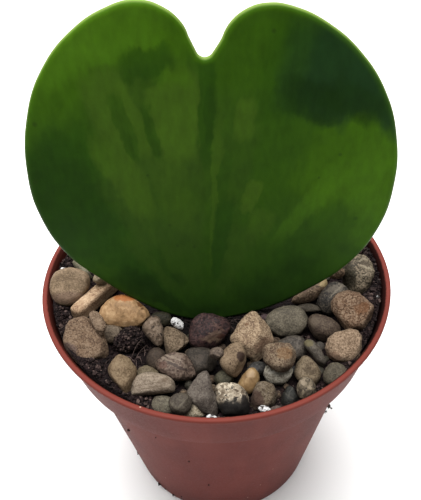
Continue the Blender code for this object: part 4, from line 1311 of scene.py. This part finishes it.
def hoya_flesh():
    """Hoya kerrii leaf: thick and waxy, with a low soft gloss and light bleeding in at its rim."""
    finish, add, shader, place = new_material("hoya_leaf_flesh")
    # The streaks fan out from just below the base, and noise of two sizes breaks their edges.
    moved = add("VectorMath", (place, (1, 3, 0)), operation="ADD")
    for wide, long, aside, along in ((3.4, 7.0, 1.6, 3.0), (1.1, 2.4, 0.5, 0.9)):
        stretched = add("VectorMath", (place, (1 / wide, 1 / long, 0)), operation="MULTIPLY")
        wander = add("TexNoise", {"Vector": stretched, "Scale": 1, "Detail": 3})
        wander = add("VectorMath", (wander.outputs["Color"], (0.5, 0.5, 0.5)), operation="SUBTRACT")
        wander = add("VectorMath", (wander, (2 * aside, 2 * along, 0)), operation="MULTIPLY")
        moved = add("VectorMath", (moved, wander), operation="ADD")
    parts = add("SeparateXYZ", (moved,))
    turn = add("Math", (parts, parts.outputs[1]), operation="ARCTAN2")
    turn = add("Math", (turn,), operation="DEGREES")
    flat = add("VectorMath", (moved, (1, 1, 0)), operation="MULTIPLY")
    reach = add("VectorMath", (flat,), operation="LENGTH")
    fan = add("CombineXYZ", (turn, reach))
    colour = hexed(INKS["leaf"])
    for left, right, near, far, ink, strength, softness in STREAKS:
        local = add("Mapping", {
            0: fan, "Location": ((left + right) / 2, (near + far) / 2, 0),
            "Scale": ((right - left) / 2, (far - near) / 2, 1)}, vector_type="TEXTURE")
        squared = add("VectorMath", (local, local), operation="MULTIPLY")
        out = add("VectorMath", (squared,), operation="LENGTH")
        colour = tinged(add, colour, INKS[ink], out, 1 + 1.6 * softness, 1 - softness, strength,
                        interpolation_type="SMOOTHSTEP")
    grainy = add("VectorMath", (place, (1 / 1.5, 1 / 4.0, 0)), operation="MULTIPLY")
    brushed = add("TexNoise", {"Vector": grainy, "Scale": 1, "Detail": 3})
    blotch = add("TexNoise", {"Vector": place, "Scale": 1 / 5.0, "Detail": 4, "Roughness": 0.6})
    light = add("Math", (brushed, blotch), operation="ADD")
    light = add("MapRange", (light, 0.7, 1.3, 0.84, 1.16))
    colour = add("VectorMath", {0: colour, "Scale": light}, operation="SCALE")
    for across, up, radius in SPECKS:
        local = add("VectorMath", (place, (across, up, 0)), operation="SUBTRACT")
        local = add("VectorMath", (local, (1, 1, 0)), operation="MULTIPLY")
        out = add("VectorMath", (local,), operation="LENGTH")
        colour = tinged(add, colour, "#22330f", out, 1.4 * radius, 0.5 * radius, 0.5)
    above = add("SeparateXYZ", (place,))
    colour = tinged(add, colour, "#486440", above.outputs[1], 34, 8, 0.15)
    # Painted light: the margin gets a pale yellow-green glow, strongest on the upper lobes,
    # standing for light shining through the rim.
    margin = add("Attribute", attribute_name="margin").outputs["Fac"]
    lobe_glow = add("MapRange", (above.outputs[1], 30, 68, 0.15, 1.0))
    for width, ink, strength in ((1.7, "#486e18", 0.35), (0.5, "#7d9449", 0.8)):
        edge = add("MapRange", (margin, width, 0.0, 0, strength), interpolation_type="SMOOTHSTEP")
        edge = add("Math", (edge, lobe_glow), operation="MULTIPLY")
        colour = add("Mix", {0: edge, 6: colour, 7: hexed(ink)}, data_type="RGBA")
    cells = add("TexNoise", {"Vector": place, "Scale": 1 / 0.45, "Detail": 2})
    waves = add("TexNoise", {"Vector": place, "Scale": 1 / 5.0, "Detail": 2})
    height = add("Math", (waves, 6.0, cells), operation="MULTIPLY_ADD")
    bump = add("Bump", {"Height": height, "Distance": 0.02 * MM})
    rough = add("MapRange", (waves, 0.3, 0.7, 0.36, 0.46))
    fill(shader, {
        "Base Color": colour, "Roughness": rough, "Normal": bump,
        "IOR": 1.45, "Specular IOR Level": 0.05, "Subsurface Weight": 0.15,
        "Subsurface Radius": (0.6, 1.0, 0.2), "Subsurface Scale": 1.0 * MM})
    return finish


def finish_roots():
    """Young roots, cream where they are fresh and browned by the mix where they are older."""
    finish, add, shader, place = new_material("young_root")
    age = add("TexNoise", {"Vector": place, "Scale": 1 / 4.0, "Detail": 3})
    hairs = add("TexNoise", {"Vector": place, "Scale": 1 / 0.3, "Detail": 2})
    colour = tinged(add, hexed("#c9b79a"), "#7d6348", age, 0.4, 0.65)
    bump = add("Bump", {"Height": hairs, "Distance": 0.1 * MM})
    fill(shader, {"Base Color": colour, "Roughness": 0.7, "Normal": bump})
    for name, slot in slots.items():
        if slot == "root_fibre":
            for holder in nodes[name].material_slots:
                holder.material = finish


def make_studio():
    """A white sweep, an even white surround and one wide soft light overhead."""
    scene = bpy.context.scene
    scene.view_settings.view_transform = "Standard"
    corners = [(x * FLOOR_HALF, y * FLOOR_HALF, 0) for x, y in ((-1, -1), (1, -1), (1, 1), (-1, 1))]
    finish, add, shader, place = new_material("white_paper_sweep")
    fill(shader, {"Base Color": hexed("#fbfbfa"), "Roughness": 0.9})
    new_object("floor", mesh_from("floor", corners, [(0, 1, 2, 3)], False), finish)
    scene.world = bpy.data.worlds.new("studio")
    scene.world.use_nodes = True
    fill(scene.world.node_tree.nodes["Background"], ((1, 1, 1, 1), SURROUND_LIGHT))
    lamp = bpy.data.lights.new("overhead_softbox", "AREA")
    lamp.shape = "DISK"
    lamp.size = SOFTBOX_WIDTH
    lamp.energy = SOFTBOX_POWER
    light = bpy.data.objects.new("overhead_softbox", lamp)
    tilt = Matrix.Rotation(math.radians(SOFTBOX_TILT), 4, "X")
    light.matrix_world = Matrix.Translation(SOFTBOX_PLACE) @ tilt
    scene.collection.objects.link(light)


def make_camera():
    """The camera, looking down at the plant from in front."""
    camera = bpy.data.objects.new("camera", bpy.data.cameras.new("camera"))
    camera.data.lens = VIEW_LENS
    camera.data.clip_start = 0.01
    camera.matrix_world = (
        Matrix.Translation(Vector(VIEW_POINT) * MM)
        @ Matrix.Rotation(math.radians(90 - VIEW_ELEVATION), 4, "X")
        @ Matrix.Rotation(math.radians(VIEW_ROLL), 4, "Z")
        @ Matrix.Translation((0, 0, VIEW_DISTANCE * MM)))
    bpy.context.scene.collection.objects.link(camera)
    bpy.context.scene.camera = camera


make_studio()
make_camera()
make_pot()
peat = moist_peat()
soil = make_soil(peat)
bed = [*make_gravel(), make_clod(peat), make_leaf()]
bed += make_extras(soil, bed)
bed += make_infill(soil, bed)
make_litter(peat, soil, bed)
make_stuck_crumbs(peat)
finish_roots()
bpy.context.view_layer.update()
